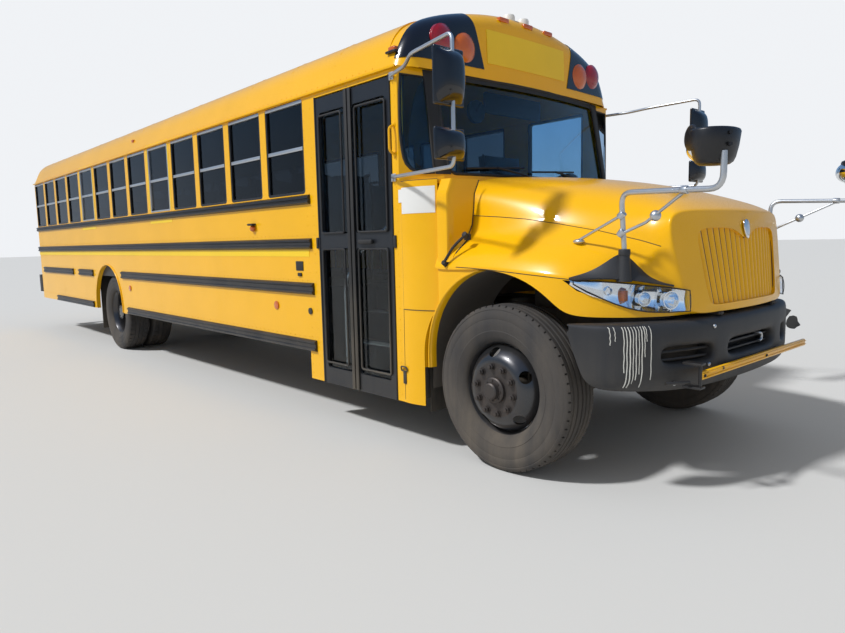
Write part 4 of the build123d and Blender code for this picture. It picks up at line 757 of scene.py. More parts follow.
# Crossview mirrors: a dark skirt over each lamp, a socket, bent tubes and a domed head
crossview = {
    "skirt": ((.735, .875, 1.138, .003), (.80, .845, 1.150, .018), (.86, .805, 1.160, .055),
              (.91, .770, 1.170, .110),
              (.96, .735, 1.178, .150), (1.01, .690, 1.184, .095), (1.06, .640, 1.188, .045),
              (1.10, .585, 1.188, .018), (1.135, .520, 1.184, .003)),
    "socket": (.718, .962, 1.30),
    "bend": (.712, .990, 1.632),
    "reach": (1.300, 1.133, 1.608),
    "head": (1.229, 1.072, 1.800),
    "shell": ((.073, .002, .003), (.073, .092, .124), (.070, .099, .133), (.061, .103, .138),
              (.0, .096, .125), (-.05, .086, .105), (-.070, .078, .090), (-.080, .064, .074),
              (-.083, .002, .003)),
    "facing": 138,
    "tube": 0.014,
}
skirtRows = []
for y, x, z, rise in crossview["skirt"]:
    skirtRows.append([Vector(at(x + 0.014 - 0.06 * share, y - 0.012 * share, z + rise * share))
                      for share in (0, 0.25, 0.5, 0.75, 1)])
skirt = sheetFrom(skirtRows)
smoother(skirt, 2)
walled(skirt, 0.010)
socketX, socketY, socketZ = crossview["socket"]
neck = barrel(at(socketX, socketY, socketZ - 0.13), at(socketX, socketY, socketZ + 0.015), 0.042, 24, 0.027)
collar = barrel(at(socketX, socketY, socketZ + 0.005), at(socketX, socketY, socketZ + 0.040), 0.031, 20,
                bevel=0.004)
skirt = bothSides(joined([skirt, neck, collar]))
finished(skirt, "crossviewSockets", "hood", "black_trim", bumperBlack, smooth=45)
bendPoint, reachPoint, headPoint = (Vector(at(*crossview[name])) for name in ("bend", "reach", "head"))
stem = tube(roundedPath([at(socketX, socketY, socketZ + 0.02), bendPoint, reachPoint,
                         (reachPoint[0], reachPoint[1], headPoint[2] - 0.03)], 0.07), crossview["tube"], 4)
brace = tube([at(.435, .958, 1.392), at(.71, .985, 1.515)], 0.008, 3)
brace = joined([stem, brace, ball(at(.43, .956, 1.384), (.035, .028, .014), 18, 10),
                ball(at(.905, .990, 1.506), (.028, .028, .028), 24, 16),
                tube([at(.712, .985, 1.42), at(.84, .965, 1.475), at(1.10, 1.084, 1.608)], 0.008, 3),
                barrel(at(.700, .985, 1.505), at(.726, .985, 1.530), 0.020, 16, bevel=0.003),
                barrel(at(.700, .985, 1.410), at(.726, .985, 1.440), 0.020, 16, bevel=0.003),
                barrel(at(1.08, 1.079, 1.617), at(1.12, 1.089, 1.615), 0.019, 16, bevel=0.003)])
bothSides(brace)
finished(brace, "crossviewTubes", "hood", "tube", galvanised, "crossview_mirrors", smooth=50)
turns = [2 * pi * (step % 40) / 40 for step in range(41)]
shell = cleaned(sheetFrom([[headPoint + Vector((along * cos(turn), across * sin(turn), rise))
                            for turn in turns]
                           for rise, along, across in crossview["shell"]]))
facing = Vector((cos(radians(crossview["facing"])), -sin(radians(crossview["facing"])), 0))
edgeOn = Vector((facing.y, -facing.x, 0))


def turnedBall(centre, depth, across, height):
    piece = ball((0, 0, 0), (depth, across, height), 36, 20)
    piece.data.transform(Matrix.Translation(centre) @ Matrix.Rotation(-radians(crossview["facing"]), 4, "Z"))
    return piece


blade = turnedBall(headPoint + edgeOn * .107 + Vector((0, 0, .040)), .070, .014, .058)
boltFoot = headPoint - edgeOn * .02
bolts = [barrel(boltFoot - facing * .098 + Vector((0, 0, rise)),
                boltFoot - facing * .116 + Vector((0, 0, rise)), .009, 6)
         for rise in (-.004, .046)]
neck = block((reachPoint[0] - .04, reachPoint[1] - .05, headPoint[2] - .050),
             (reachPoint[0] + .006, reachPoint[1] + .006, headPoint[2] - .030), .004)
head = bothSides(joined([shell, blade, neck] + bolts))
finished(head, "crossviewHeads", "hood", "black_trim", trimBlack, smooth=50)
facePiece = bothSides(turnedBall(headPoint + facing * .062 + Vector((0, 0, -.002)), .072, .100, .070))
finished(facePiece, "crossviewFaces", "hood", "tube", mirrorFace, smooth=60)
print("crossview mirrors made")

# Thin seams on the hood: the crease along its side and the fender joint below
hoodSeams = {
    "crease": ((-.460, 1.568), (-.319, 1.556), (-.157, 1.543), (.033, 1.523), (.258, 1.486), (.491, 1.440),
               (.701, 1.385), (.845, 1.338)),
    "fender": ((-.310, 1.240), (-.188, 1.236), (-.027, 1.227), (.156, 1.213), (.319, 1.199), (.459, 1.185),
               (.532, 1.174)),
    "radius": 0.0022,
}


def hoodSide(x, z):
    found, spot, normal, face = hood.ray_cast(Vector(at(x, -1.5, z)), Vector((0, 1, 0)))
    return spot if found else None


lines = []
for places in (hoodSeams["crease"], hoodSeams["fender"]):
    path = []
    for (firstX, firstZ), (secondX, secondZ) in zip(places, places[1:]):
        path += [hoodSide(firstX + (secondX - firstX) * part / 4, firstZ + (secondZ - firstZ) * part / 4)
                 for part in range(4)]
    lines.append(tube([spot for spot in path if spot], hoodSeams["radius"], 2))
finished(bothSides(joined(lines)), "hoodSeams", "hood", "black_trim", blackRubber)
print("hood seams made")


# Front bumper: a swept-back moulding with a middle and two side openings over slats; its
# driver's end is torn off, and white drips mark its curb side
bumperLook = {
    "top": 0.950,
    "foot": 0.570,
    "plate": 0.010,
    "middleOpening": 0.345,
    "sideOpening": (0.46, 0.87),
    "tornOpening": 0.70,
    "openingDepth": 0.075,
    "end": 1.195,
    "dripTop": 0.939,
}
bumperPlan = (  # y, ahead
    (-1.195, .535), (-1.16, .600), (-1.135, .650), (-1.085, .740), (-1.00, .815), (-.93, .851),
    (-.87, .874), (-.75, .918),
    (-.60, .965), (-.46, .988), (-.40, .994), (-.345, .999), (-.18, 1.009), (0, 1.014), (.18, 1.009),
    (.345, .999), (.40, .994), (.46, .988),
    (.60, .965), (.70, .935), (.80, .900), (.875, .872))
bumperProfile = (  # height share, forward
    (0.0, -.070), (0.03, -.030), (0.10, -.012), (0.22, 0.0), (0.36, 0.0), (0.69, 0.0), (0.92, -.002),
    (0.975, -.012), (1.0, -.045), (1.0, -.120))


def bumperFoot(y):
    reach = abs(y)
    return bumperLook["foot"] + 0.09 * max(0.0, reach - 0.70) + 4.6 * max(0.0, reach - 1.130)


def bumperPoint(y, x, share, forward):
    foot = bumperFoot(y)
    drawn = min(1.0, (bumperLook["end"] - abs(y)) / 0.10 + 0.15)
    sag = 0.008 * abs(y) / bumperLook["end"]
    return Vector((ahead(x + forward * drawn), y, foot + (bumperLook["top"] - sag - foot) * share))


bumperRows = [[bumperPoint(y, x, share, forward) for share, forward in bumperProfile] for y, x in bumperPlan]
shell = sheetFrom(bumperRows)
across = len(bumperProfile)
holes = []
sideStart, sideEnd = bumperLook["sideOpening"]
for row, (y, x) in enumerate(bumperPlan[:-1]):
    middle = (abs(y) + abs(bumperPlan[row + 1][0])) / 2
    farEnd = sideEnd if y < 0 else bumperLook["tornOpening"]
    if middle < bumperLook["middleOpening"] or sideStart < middle < farEnd:
        holes.append(frozenset(corner * across + place for corner in (row, row + 1) for place in (4, 5)))
editing(shell)
bpy.ops.mesh.select_all(action="DESELECT")
doneEditing()
for polygon in shell.data.polygons:
    polygon.select = frozenset(polygon.vertices) in holes
bpy.ops.object.mode_set(mode="EDIT")
bpy.ops.mesh.select_mode(type="FACE")
bpy.ops.mesh.extrude_region_move(TRANSFORM_OT_translate={"value": (-0.018, 0, 0)})
bpy.ops.transform.resize(value=(1, 0.97, 0.88))
bpy.ops.mesh.extrude_region_move(TRANSFORM_OT_translate={"value": (-bumperLook["openingDepth"], 0, 0)})
bpy.ops.mesh.delete(type="FACE")
bpy.ops.mesh.select_mode(type="VERT")
doneEditing()
smoother(shell, 2)
walled(shell, bumperLook["plate"], -1)
torn = slab([at(.80, .875, .48), at(.99, .905, .56), at(.90, .835, .66), at(1.02, .880, .72),
             at(.93, .800, .80), at(1.00, .850, .88), at(.80, .815, .99), at(.60, .84, 1.00),
             at(.60, .84, .48)], (0, 0.5, 0))
parts = [cutAway(shell, torn)]
for z in (0.742, 0.786):
    parts.append(block(at(.925, -.340, z - .006), at(.965, .340, z + .006), 0.002))
    parts.append(tube([at(x - .045, y, z) for y, x in bumperPlan[6:10]], .008, 1))
ragged = slab([at(.935, .760, .86), at(.965, .905, .83), at(.948, .890, .79), at(.975, .965, .755),
               at(.930, .930, .745), at(.925, .975, .72), at(.905, .880, .735), at(.915, .760, .77)],
              (-0.006, 0, 0.004))
hanging = slab([at(.895, .770, .90), at(.900, .925, .865), at(.880, .895, .82), at(.890, .770, .80)],
               (-0.005, 0, 0.002))
parts += [ragged, hanging]
smoother(ragged, 1)
bumper = joined(parts)
finished(bumper, "frontBumper", "coach", "bumper", bumperBlack, "front_bumper", smooth=40)
backing = [block(at(.895, -.45, .68), at(.902, .45, .87))]
for near, far, reach in ((-.44, .775, -.885), (.44, .835, .72)):
    plate = [at(.893, near, .68), at(far, reach, .68), at(far, reach, .87), at(.893, near, .87)]
    backing.append(slab(plate, (-.007, 0, 0)))
backing += [block(at(.845, -.43, .70), at(.900, .43, .86), 0.004),
            block(at(.85, -.60, .62), at(.89, .60, .66), 0.006)]
finished(joined(backing), "bumperBacking", "coach", "bumper", chassisBlack)
bolts = []
for y, z in ((-.485, .905), (-.14, .898), (-.53, .70), (-.78, .62), (.31, .900)):
    x = max(ahead(planX) for planY, planX in bumperPlan if abs(planY - y) < 0.11)
    bolts.append(ball((x - 0.002, y, z), (.010, .012, .012), 14, 8))
hook = tube(roundedPath([at(.93, .155, .80), at(.985, .155, .80), at(.985, .185, .79),
                         at(.985, .185, .755), at(.985, .150, .750)], 0.015), 0.008, 3)
bolts += [hook, barrel(at(.92, .155, .80), at(.935, .155, .80), 0.022, 16)]
finished(joined(bolts), "bumperBolts", "coach", "tube", galvanised)
bumperDrips = (  # y, foot, radius
    (-1.1, .845, .00252), (-1.08436, .865, .00204), (-1.054, .70, .00276), (-1.04204, .618, .003),
    (-1.02916, .618, .00336), (-1.01628, .64, .0024), (-1.0034, .66, .00276), (-.9896, .69, .00216),
    (-.9758, .618, .00312), (-.962, .78, .00264), (-.95188, .86, .00216), (-.92796, .655, .00252))


def bumperFace(y, z):
    hit = bumper.ray_cast(Vector((9, y, z)), Vector((-1, 0, 0)))
    return hit[1].x if hit[0] else ahead(.9)


drips = []
for index, (place, foot, radius) in enumerate(bumperDrips):
    points = []
    for step, z in enumerate(spaced(bumperLook["dripTop"], foot, 14)):
        y = place + 0.0009 * sin(step * 1.3 + index)
        points.append(Vector((bumperFace(y, z) + 0.0003, y, z)))
    drips.append(tube(points, radius, 1))
finished(joined(drips), "bumperDrips", "coach", "bumper", paleNosing)
print("front bumper made")

# Crossing arm: a yellow bar on a dark pivot rod
arm = joined([block(at(1.028, -.745, .650), at(1.050, .765, .695), 0.006),
              block(at(1.034, -.742, .660), at(1.056, .762, .664), 0.001),
              block(at(1.034, -.742, .681), at(1.056, .762, .685), 0.001)])
finished(arm, "crossingArm", "crossing_arm", "yellow", busYellow, "crossing_arm")
armBolts = [ball(at(1.053, y, z), (.006, .009, .009), 12, 8)
            for y, z in ((-.715, .672), (-.50, .682), (.1, .672))]
armBolts.append(barrel(at(1.040, -.745, .612), at(1.040, -.745, .732), 0.009, 18))
finished(joined(armBolts), "armPivot", "crossing_arm", "tube", trimBlack)
armHinge = joined([block(at(.955, -.775, .728), at(1.056, -.715, .742), 0.004),
                   block(at(.955, -.775, .602), at(1.056, -.715, .616), 0.004),
                   tube([at(.93, -.90, .640), at(1.00, -.78, .640)], 0.009, 3)])
finished(armHinge, "armHinge", "coach", "black_trim", trimBlack)
print("crossing arm made")


# Wheels and tyres: the front tyre carries ribs, the rear ones blocks; both wheels are
# stamped discs with hand holes, nuts and a hub
wheelLook = {
    "tyreWidth": 0.279,
    "outerFace": 1.1645,
    "innerFace": 0.8465,
    "tyreSteps": 120,
    "rimSet": 0.028,
    "handHoles": 5,
    "holeRadius": 0.038,
    "holeReach": 0.226,
    "nuts": 10,
    "nutCircle": 0.1425,
}
tyreProfile = (  # radius, along from the outer face of a tyre 0.279 wide
    (.284, .044), (.296, .030), (.315, .018), (.345, .0065), (.352, .0045), (.356, .0065), (.385, .0015),
    (.420, .0005),
    (.424, .0022), (.428, .0005), (.452, .0035), (.470, .009), (.478, .013), (.4805, .0108), (.488, .014),
    (.496, .019), (.503, .027))
ribGrooves = ((.062, .0045), (.100, .0055), (.1395, .0055), (.179, .0055), (.217, .0045))
lugGrooves = ((.085, .0055), (.1395, .0045), (.194, .0055))
rimSection = (  # radius, along
    (.300, .0), (.303, .006), (.296, .012), (.284, .028), (.272, .055), (.262, .070), (.262, .165),
    (.284, .196),
    (.296, .212), (.303, .218), (.300, .224), (.292, .214), (.278, .196), (.254, .165), (.254, .075),
    (.266, .052), (.278, .024), (.292, .008))


def treadProfile(grooves, depth):
    points = [(.5065, .031)]
    for centre, half in grooves:
        crest = axleHeight - 0.006 * abs(centre - .1395) / .11
        points += [(crest, centre - half - .003), (axleHeight - depth, centre - half + .001),
                   (axleHeight - depth, centre + half - .001), (crest, centre + half + .003)]
    return points + [(.5065, .248)]


def turned(profile, x, y, side, steps):
    return spun(profile, (x, y, axleHeight), (0, -side, 0), steps)


def tyrePiece(x, outerY, side, grooves):
    inside = [(radius, wheelLook["tyreWidth"] - along) for radius, along in reversed(tyreProfile)]
    profile = list(tyreProfile) + treadProfile(grooves, .011) + inside
    profile += [(.281, .215), (.279, .1395), (.281, .064)]
    return turned(profile, x, outerY, side, wheelLook["tyreSteps"])


def shoulderCuts(piece, x, outerY, side, count, reach):
    cutters = []
    for cut in range(count):
        for along in (.0, wheelLook["tyreWidth"] - reach):
            bpy.ops.mesh.primitive_cube_add(size=1, location=(0, 0, 0))
            cutter = activeObject()
            cutter.data.transform(Matrix.Diagonal((.011, reach, .022, 1)))
            cutter.data.transform(Matrix.Translation((x, outerY - side * (along + reach / 2), axleHeight))
                                  @ Matrix.Rotation(2 * pi * cut / count, 4, "Y")
                                  @ Matrix.Translation((0, 0, .508)))
            cutters.append(cutter)
    return cutAway(piece, joined(cutters))


def radial(first, x, y, count, start=0.0):
    parts = []
    for index in range(count):
        copy = first.copy()
        copy.data = first.data.copy()
        bpy.context.scene.collection.objects.link(copy)
        copy.data.transform(Matrix.Translation((x, y, axleHeight))
                            @ Matrix.Rotation(start + 2 * pi * index / count, 4, "Y"))
        parts.append(copy)
    removed(first)
    return joined(parts)


def rimPiece(x, outerY, side):
    section = [(radius, wheelLook["rimSet"] + along) for radius, along in rimSection]
    return turned(section, x, outerY, side, 96)


def discProfile(dish, back):
    return [(.266, back), (.260, back - dish * .16), (.244, back - dish * .42), (.220, back - dish * .74),
            (.196, back - dish * .94), (.176, back - dish), (.082, back - dish), (.082, back - dish + .010),
            (.174, back - dish + .010), (.194, back - dish * .94 + .010), (.215, back - dish * .74 + .010),
            (.236, back - dish * .42 + .010), (.250, back - dish * .16 + .010), (.256, back + .006)]


def wheelDisc(x, outerY, side, dish, back):
    disc = turned(discProfile(dish, back), x, outerY, side, 90)
    holeY = outerY - side * (back - dish * .62)
    cutters = []
    for hole in range(wheelLook["handHoles"]):
        turn = radians(-8) + 2 * pi * hole / wheelLook["handHoles"]
        bpy.ops.mesh.primitive_cylinder_add(vertices=32, radius=wheelLook["holeRadius"], depth=.14,
                                            location=(0, 0, 0))
        cutter = activeObject()
        cutter.data.transform(Matrix.Translation((x, holeY, axleHeight)) @ Matrix.Rotation(turn, 4, "Y")
                              @ Matrix.Translation((0, 0, wheelLook["holeReach"]))
                              @ Matrix.Rotation(radians(90 + side * dish / abs(dish) * 35), 4, "X"))
        cutters.append(cutter)
    return cutAway(disc, joined(cutters))


def nutRing(x, y, side):
    circle = wheelLook["nutCircle"]
    nut = joined([barrel((circle, 0, 0), (circle, side * .022, 0), .0200, 6, bevel=.0015),
                  barrel((circle, side * .018, 0), (circle, side * .034, 0), .0120, 14, bevel=.0015),
                  barrel((circle, 0, 0), (circle, side * .005, 0), .0245, 20)])
    return radial(nut, x, y, wheelLook["nuts"], radians(9))


frontHub = ((.079, .0), (.079, -.018), (.072, -.024), (.054, -.026), (.050, -.050), (.042, -.057),
            (.0005, -.058), (.0005, .05), (.079, .05))
frontGrime = ((.078, -.0010), (.166, -.0010), (.169, .004), (.078, .004))
rearHub = ((.084, .0), (.084, -.050), (.078, -.058), (.070, -.060), (.070, -.095), (.092, -.097),
           (.092, -.108), (.040, -.112), (.0005, -.112), (.0005, .12), (.084, .12))
for label, side in (("left", 1), ("right", -1)):
    station, ending = "front_wheel_" + label, label.title()
    x, outerY = ahead(0), side * wheelLook["outerFace"]
    tyre = shoulderCuts(tyrePiece(x, outerY, side, ribGrooves), x, outerY, side, 60, .036)
    finished(tyre, "frontTyre" + ending, station, "tyre", tyreRubber, "front_tyre_" + label, smooth=35)
    wheel = joined([rimPiece(x, outerY, side), wheelDisc(x, outerY, side, .092, .074)])
    finished(wheel, "frontWheel" + ending, station, "wheel_steel", wheelSteel, station, smooth=35)
    discFaceY = outerY - side * (.074 - .092)
    hub = turned(frontHub, x, discFaceY, side, 48)
    grime = turned(frontGrime, x, discFaceY, side, 60)
    bolts = radial(barrel((.062, side * .022, 0), (.062, side * .030, 0), .0060, 6), x, discFaceY, 8)
    finished(joined([nutRing(x, discFaceY, side), hub, grime, bolts]), "frontNuts" + ending, station,
             "wheel_steel", wornNut, smooth=30)
    x, station = rearAxle, "rear_wheels_" + label
    faces = (side * wheelLook["outerFace"], side * wheelLook["innerFace"])
    tyres = [shoulderCuts(tyrePiece(x, face, side, lugGrooves), x, face, side, 44, .066) for face in faces]
    finished(joined(tyres), "rearTyres" + ending, station, "tyre", tyreRubber, "rear_tyres_" + label,
             smooth=35)
    parts = [rimPiece(x, face, side) for face in faces]
    discFaceY = side * (wheelLook["outerFace"] - .172)
    parts.append(wheelDisc(x, outerY, side, -.095, .077))
    parts.append(turned(rearHub, x, discFaceY, side, 48))
    parts.append(radial(barrel((.080, side * .108, 0), (.080, side * .118, 0), .0075, 6), x, discFaceY, 8))
    finished(joined(parts), "rearWheels" + ending, station, "wheel_steel", wheelSteel, station, smooth=35)
    finished(nutRing(x, discFaceY, side), "rearNuts" + ending, station, "wheel_steel", wornNut, smooth=30)
print("wheels made")


# Cowl: bowed quarter panels, the rolled arch panel behind each front wheel, deck, firewall
# and the dark liner inside the arch
cowlLook = {
    "postX": -0.800,
    "frontX": -0.505,
    "foot": 0.310,
    "head": 1.800,
    "archX": -0.020,
    "archZ": 0.660,
    "archRadius": 0.572,
    "seam": 0.0020,
    "noticeFoot": 1.585,
}


def quarterY(x):
    past = max(0.0, x - cowlLook["postX"])
    return bodyHalf + .151 * past - 1.305 * past * past


def archFront(z, radius):
    rise = max(0.0, z - cowlLook["archZ"])
    return cowlLook["archX"] - sqrt(max(0.0, radius * radius - rise * rise))


def quarterPoint(share, z, out=0.0):
    front = min(cowlLook["frontX"], archFront(z, cowlLook["archRadius"] + .014))
    x = cowlLook["postX"] + (front - cowlLook["postX"]) * share
    return Vector((ahead(x), -quarterY(x) - out, z))


def quarterLine(z, out=0.0, first=0):
    return [quarterPoint(step / 12, z, out) for step in range(first, 13)]


quarter = walled(sheetFrom([quarterLine(z) for z in spaced(cowlLook["foot"], cowlLook["head"], 44)]), .004,
                 -1)
raised = walled(sheetFrom([quarterLine(z, .0012, 1) for z in spaced(.955, 1.795, 24)]), .0025)
hoodEdge = ((1.225, 1.165), (1.310, 1.150), (1.365, 1.075), (1.430, .990), (1.573, .962), (1.725, .950),
            (1.800, .900))


def hoodEdgeY(z):
    for (lowZ, lowY), (highZ, highY) in zip(hoodEdge, hoodEdge[1:]):
        if z <= highZ:
            return lowY + (highY - lowY) * max(0.0, z - lowZ) / (highZ - lowZ)
    return hoodEdge[-1][1]


archRows = []
for z in spaced(.570, 1.792, 60):
    seamX = min(-.497, archFront(z, cowlLook["archRadius"] + .012) - .008)
    inner = archFront(z, cowlLook["archRadius"])
    grow = max(0.0, min(1.0, (z - .570) / .65))
    edge = max(inner + .012, seamX + .014) if z < 1.225 else -.395
    crest = 1.166 + .008 * grow if z < 1.70 else 1.174 - (z - 1.70) * .45
    top = max(0.0, z - 1.225)
    tail = hoodEdgeY(z) + .010 if z > 1.225 else crest - .045
    row = [(seamX, quarterY(seamX) - .006), (seamX + .004, crest - .012), (seamX + .012, crest),
           ((seamX + edge) / 2, crest + .002), (edge - .008, crest - .002), (edge, crest - .012),
           (edge + .004, max(tail, crest - .060)), (edge + (.035 if top else .002), tail)]
    archRows.append([Vector(at(x, -y, z)) for x, y in row])
arch = walled(sheetFrom(archRows), .004)
lip = [at(archFront(z, .576), -1.168, z) for z in spaced(.570, 1.215, 20)]
rolled = tube(lip + [at(-.17, -1.170, 1.2215)], .009, 3)
deck = block(at(cowlLook["postX"], -1.165, 1.770), at(-.525, 1.165, 1.800), .006)
deckLip = block(at(-.560, -1.10, 1.700), at(-.520, 1.10, 1.790), .010, 3)
finished(joined([bothSides(joined([quarter, raised, arch, rolled])), deck, deckLip]), "cowlPanels",
         "coach", "yellow", busYellow, "cowl", smooth=42)
seams = [tube(quarterLine(z, .0012, 1), cowlLook["seam"], 1) for z in (.950, 1.797)]
seams.append(tube([quarterPoint(1 / 12, z, .0010) for z in (.330, .95, 1.795)], cowlLook["seam"] * .6, 1))
seams.append(tube([(ahead(-.358), -hoodEdgeY(z) - .012, z)
                   for z in (1.26, 1.33, 1.40, 1.50, 1.60, 1.70, 1.785)], .004, 1))
finished(bothSides(joined(seams)), "cowlSeams", "coach", "black_trim", blackRubber)
linerRows = []
for step in range(25):
    turn = radians(2 + 176 * step / 24)
    z = cowlLook["archZ"] + .578 * sin(turn) if 0 < step < 24 else .42
    x = cowlLook["archX"] - .582 * cos(turn)
    linerRows.append([Vector(at(x, -y, z)) for y in (1.128, 1.02, .90, .76, .62)])
liner = walled(sheetFrom([row for row in linerRows if row[0].x < ahead(-.06)]), .004)
firewall = block(at(-.700, -1.16, 1.00), at(-.662, 1.16, 1.765))
apron = block(at(-.700, -1.16, .34), at(-.664, -.50, 1.00))
bracket = block(at(-.66, -1.13, .700), at(-.625, -.89, .728))
finished(joined([bothSides(joined([liner, apron, bracket])), firewall]), "archLiner", "coach", "chassis",
         linerSteel, smooth=40)

# Small fittings of the cowl: hold-down strap, hook clip, blank paper notice
fittings = []
for x, y, z in ((-.277, 1.118, 1.424), (-.405, 1.176, 1.251)):
    knob = barrel(at(x, -y, z), (ahead(x) + .004, -y - .034, z + .020), .019, 6, bevel=.004)
    fittings += [knob, block((ahead(x) - .024, -y - .008, z - .020),
                             (ahead(x) + .024, -y + .012, z + .020), .005)]
fittings.append(tube(roundedPath([at(-.277, -1.142, 1.432), at(-.330, -1.190, 1.365),
                                  at(-.405, -1.205, 1.262)], .04), .009, 2))
fittings.append(block(at(-.797, -1.230, .438), at(-.765, -1.210, .522), .006))
fittings.append(tube(roundedPath([at(-.812, -1.226, .528), at(-.812, -1.234, .558), at(-.752, -1.234, .558),
                                  at(-.752, -1.230, .528), at(-.812, -1.226, .528)], .012), .0050, 2))
fittings.append(barrel(at(-.639, -1.196, .992), at(-.639, -1.203, .992), .009, 12))
finished(bothSides(joined(fittings)), "cowlFittings", "coach", "black_trim", blackRubber)
notice = sheetFrom([[quarterPoint(.10 + .86 * step / 8, z, .0042) for step in range(9)]
                    for z in (cowlLook["noticeFoot"], 1.66, 1.755)])
label = sheetFrom([[quarterPoint(share, z, .0036) for share in (-.02, .06, .12)] for z in (1.66, 1.745)])
paper = joined([notice, label])
walled(paper, .0006)
finished(paper, "blankNotice", "coach", "hatch", whitePlastic)
print("cowl made")


# Front cap: the roof's line rolled over into a bowed face, with dark lamp panels, a blank
# sign and marker lamps
capLook = {
    "rear": -0.950,
    "face": -0.686,
    "bow": 0.070,
    "roofPoint": (1.079, 2.851),
    "panelFoot": 2.604,
    "panelRear": -0.862,
    "panelHalf": 0.490,
    "panelLean": 0.272,
    "lampRadius": 0.088,
    "signHalf": 0.455,
    "signFoot": 2.652,
    "signTop": 2.888,
}
roofY, roofZ = capLook["roofPoint"]
roofArcCentre = (crown ** 2 - roofZ ** 2 - roofY ** 2) / (2 * (crown - roofZ))
roofArcRadius = crown - roofArcCentre
roofHalf = [(1.211, gutter), (1.190, 2.592), (1.160, 2.662), (1.122, 2.738), (1.072, 2.808), (1.005, 2.862),
            (.925, 2.903)]
roofHalf += [(y, roofArcCentre + sqrt(roofArcRadius ** 2 - y * y))
             for y in [.925 * (1 - step / 7) for step in range(1, 8)]]


def capFace(y, z):
    return ahead(capLook["face"] - capLook["bow"] * (y / bodyHalf) ** 2 - 0.03 * (z - 2.6))


capRings = (  # behind the face, inset
    (.262, .0), (.150, .0), (.105, .004), (.066, .020), (.034, .046), (.012, .082), (.001, .128))
capRows = []
for index, (y, z) in enumerate(roofHalf):
    before, after = roofHalf[max(0, index - 1)], roofHalf[min(len(roofHalf) - 1, index + 1)]
    along = Vector((after[0] - before[0], after[1] - before[1])).normalized()
    inward = Vector((along.y, -along.x)) if along.x > 0 else Vector((-along.y, along.x))
    if inward.y > 0:
        inward = -inward
    if index == 0:
        inward = Vector((-1, 0))
    if index == len(roofHalf) - 1:
        inward = Vector((0, -1))
    row = []
    rearward = ahead(capLook["rear"])
    for back, inset in capRings:
        place = Vector((y, z)) + inward * inset
        place.y = max(place.y, gutter)
        faceX = capFace(place.x, place.y)
        row.append(Vector((max(rearward, faceX - back) if back < .2 else rearward, place.x, place.y)))
    ring = row[-1]
    footY = 1.075 * (1 - index / (len(roofHalf) - 1))
    for share in (.25, .5, .75, 1):
        faceY, faceZ = ring.y + (footY - ring.y) * share, ring.z + (gutter - ring.z) * share
        row.append(Vector((capFace(faceY, faceZ), faceY, faceZ)))
    capRows.append(row)
cap = sheetFrom(capRows)
modify(cap, "MIRROR", use_axis=(False, True, False), use_mirror_merge=True, merge_threshold=0.0005)
smoother(cap, 2)
panelFoot, panelHalf, panelLean = (capLook[name] for name in ("panelFoot", "panelHalf", "panelLean"))
for side in (1, -1):
    for place, normal in (((0, 0, panelFoot), (0, 0, 1)), (at(capLook["panelRear"], 0, 0), (1, 0, 0)),
                          ((0, side * panelHalf, panelFoot), (0, side, -panelLean))):
        editing(cap)
        bpy.ops.mesh.bisect(plane_co=place, plane_no=normal, threshold=0.00001)
        doneEditing()
editing(cap)
bpy.ops.mesh.normals_make_consistent(inside=False)
bpy.ops.mesh.select_all(action="DESELECT")
doneEditing()
for polygon in cap.data.polygons:
    x, y, z = polygon.center
    polygon.select = (z > panelFoot and x > ahead(capLook["panelRear"])
                      and abs(y) > panelHalf + panelLean * (z - panelFoot))
only(cap)
bpy.ops.object.mode_set(mode="EDIT")
bpy.ops.mesh.separate(type="SELECTED")
doneEditing()
lampPanel = [piece for piece in bpy.context.selected_objects if piece != cap][0]
walled(cap, 0.006, -1)
walled(lampPanel, 0.008, 0.3)
finished(cap, "frontCap", "coach", "yellow", busYellow, "front_cap", smooth=40)
finished(lampPanel, "capLampPanels", "coach", "black_trim", capBlack, smooth=40)


def faceOf(y, z):
    hits = [piece.ray_cast(Vector((9, y, z)), Vector((-1, 0, 0))) for piece in (cap, lampPanel)]
    return max([hit[1].x for hit in hits if hit[0]] or [capFace(y, z)])


def roundLens(y, z, x, radius, forward=1):
    return spun([(radius + .012, -.020), (radius + .010, .004), (radius, .010), (radius * .98, .012),
                 (radius * .8, .024), (radius * .4, .033), (.0005, .036), (.0005, -.020)], (x, y, z),
                (forward, 0, 0), 40)


for name, material, y, z in (("capRedLamps", redLens, .875, 2.752),
                             ("capAmberLamps", amberLens, .675, 2.722)):
    lamps = [roundLens(side * y, z, faceOf(side * y, z) + .002, capLook["lampRadius"]) for side in (1, -1)]
    finished(joined(lamps), name, "coach", "lamp_colour", material, "lamps", smooth=40)
across = [-capLook["signHalf"] + capLook["signHalf"] * step / 8 for step in range(17)]
sign = sheetFrom([[Vector((faceOf(y, z) + .0025, y, z)) for y in across]
                  for z in spaced(capLook["signFoot"], capLook["signTop"], 4)])
finished(walled(sign, .003), "signBlank", "coach", "yellow", reflectYellow)
markers = []
for y in (-.246, .018, .276):
    x = faceOf(y, 2.990)
    markers.append(block((x - .030, y - .052, 2.976), (x + .018, y + .052, 3.010), 0.010, 3))
for side in (1, -1):
    markers.append(block(at(-.93, side * 1.150 - .03, 2.655), at(-.86, side * 1.150 + .03, 2.690), .010, 3))
    markers.append(block(at(-5.96, side * 1.135 - .03, 2.682), at(-5.90, side * 1.135 + .03, 2.712), .010, 3))
finished(joined(markers), "markerLamps", "coach", "lamp_colour", amberLens)
markerBases = [block(at(-.945, side * 1.150 - .042, 2.645), at(-.845, side * 1.150 + .036, 2.662), .006)
               for side in (1, -1)]
finished(joined(markerBases), "markerBases", "coach", "black_trim", trimBlack)
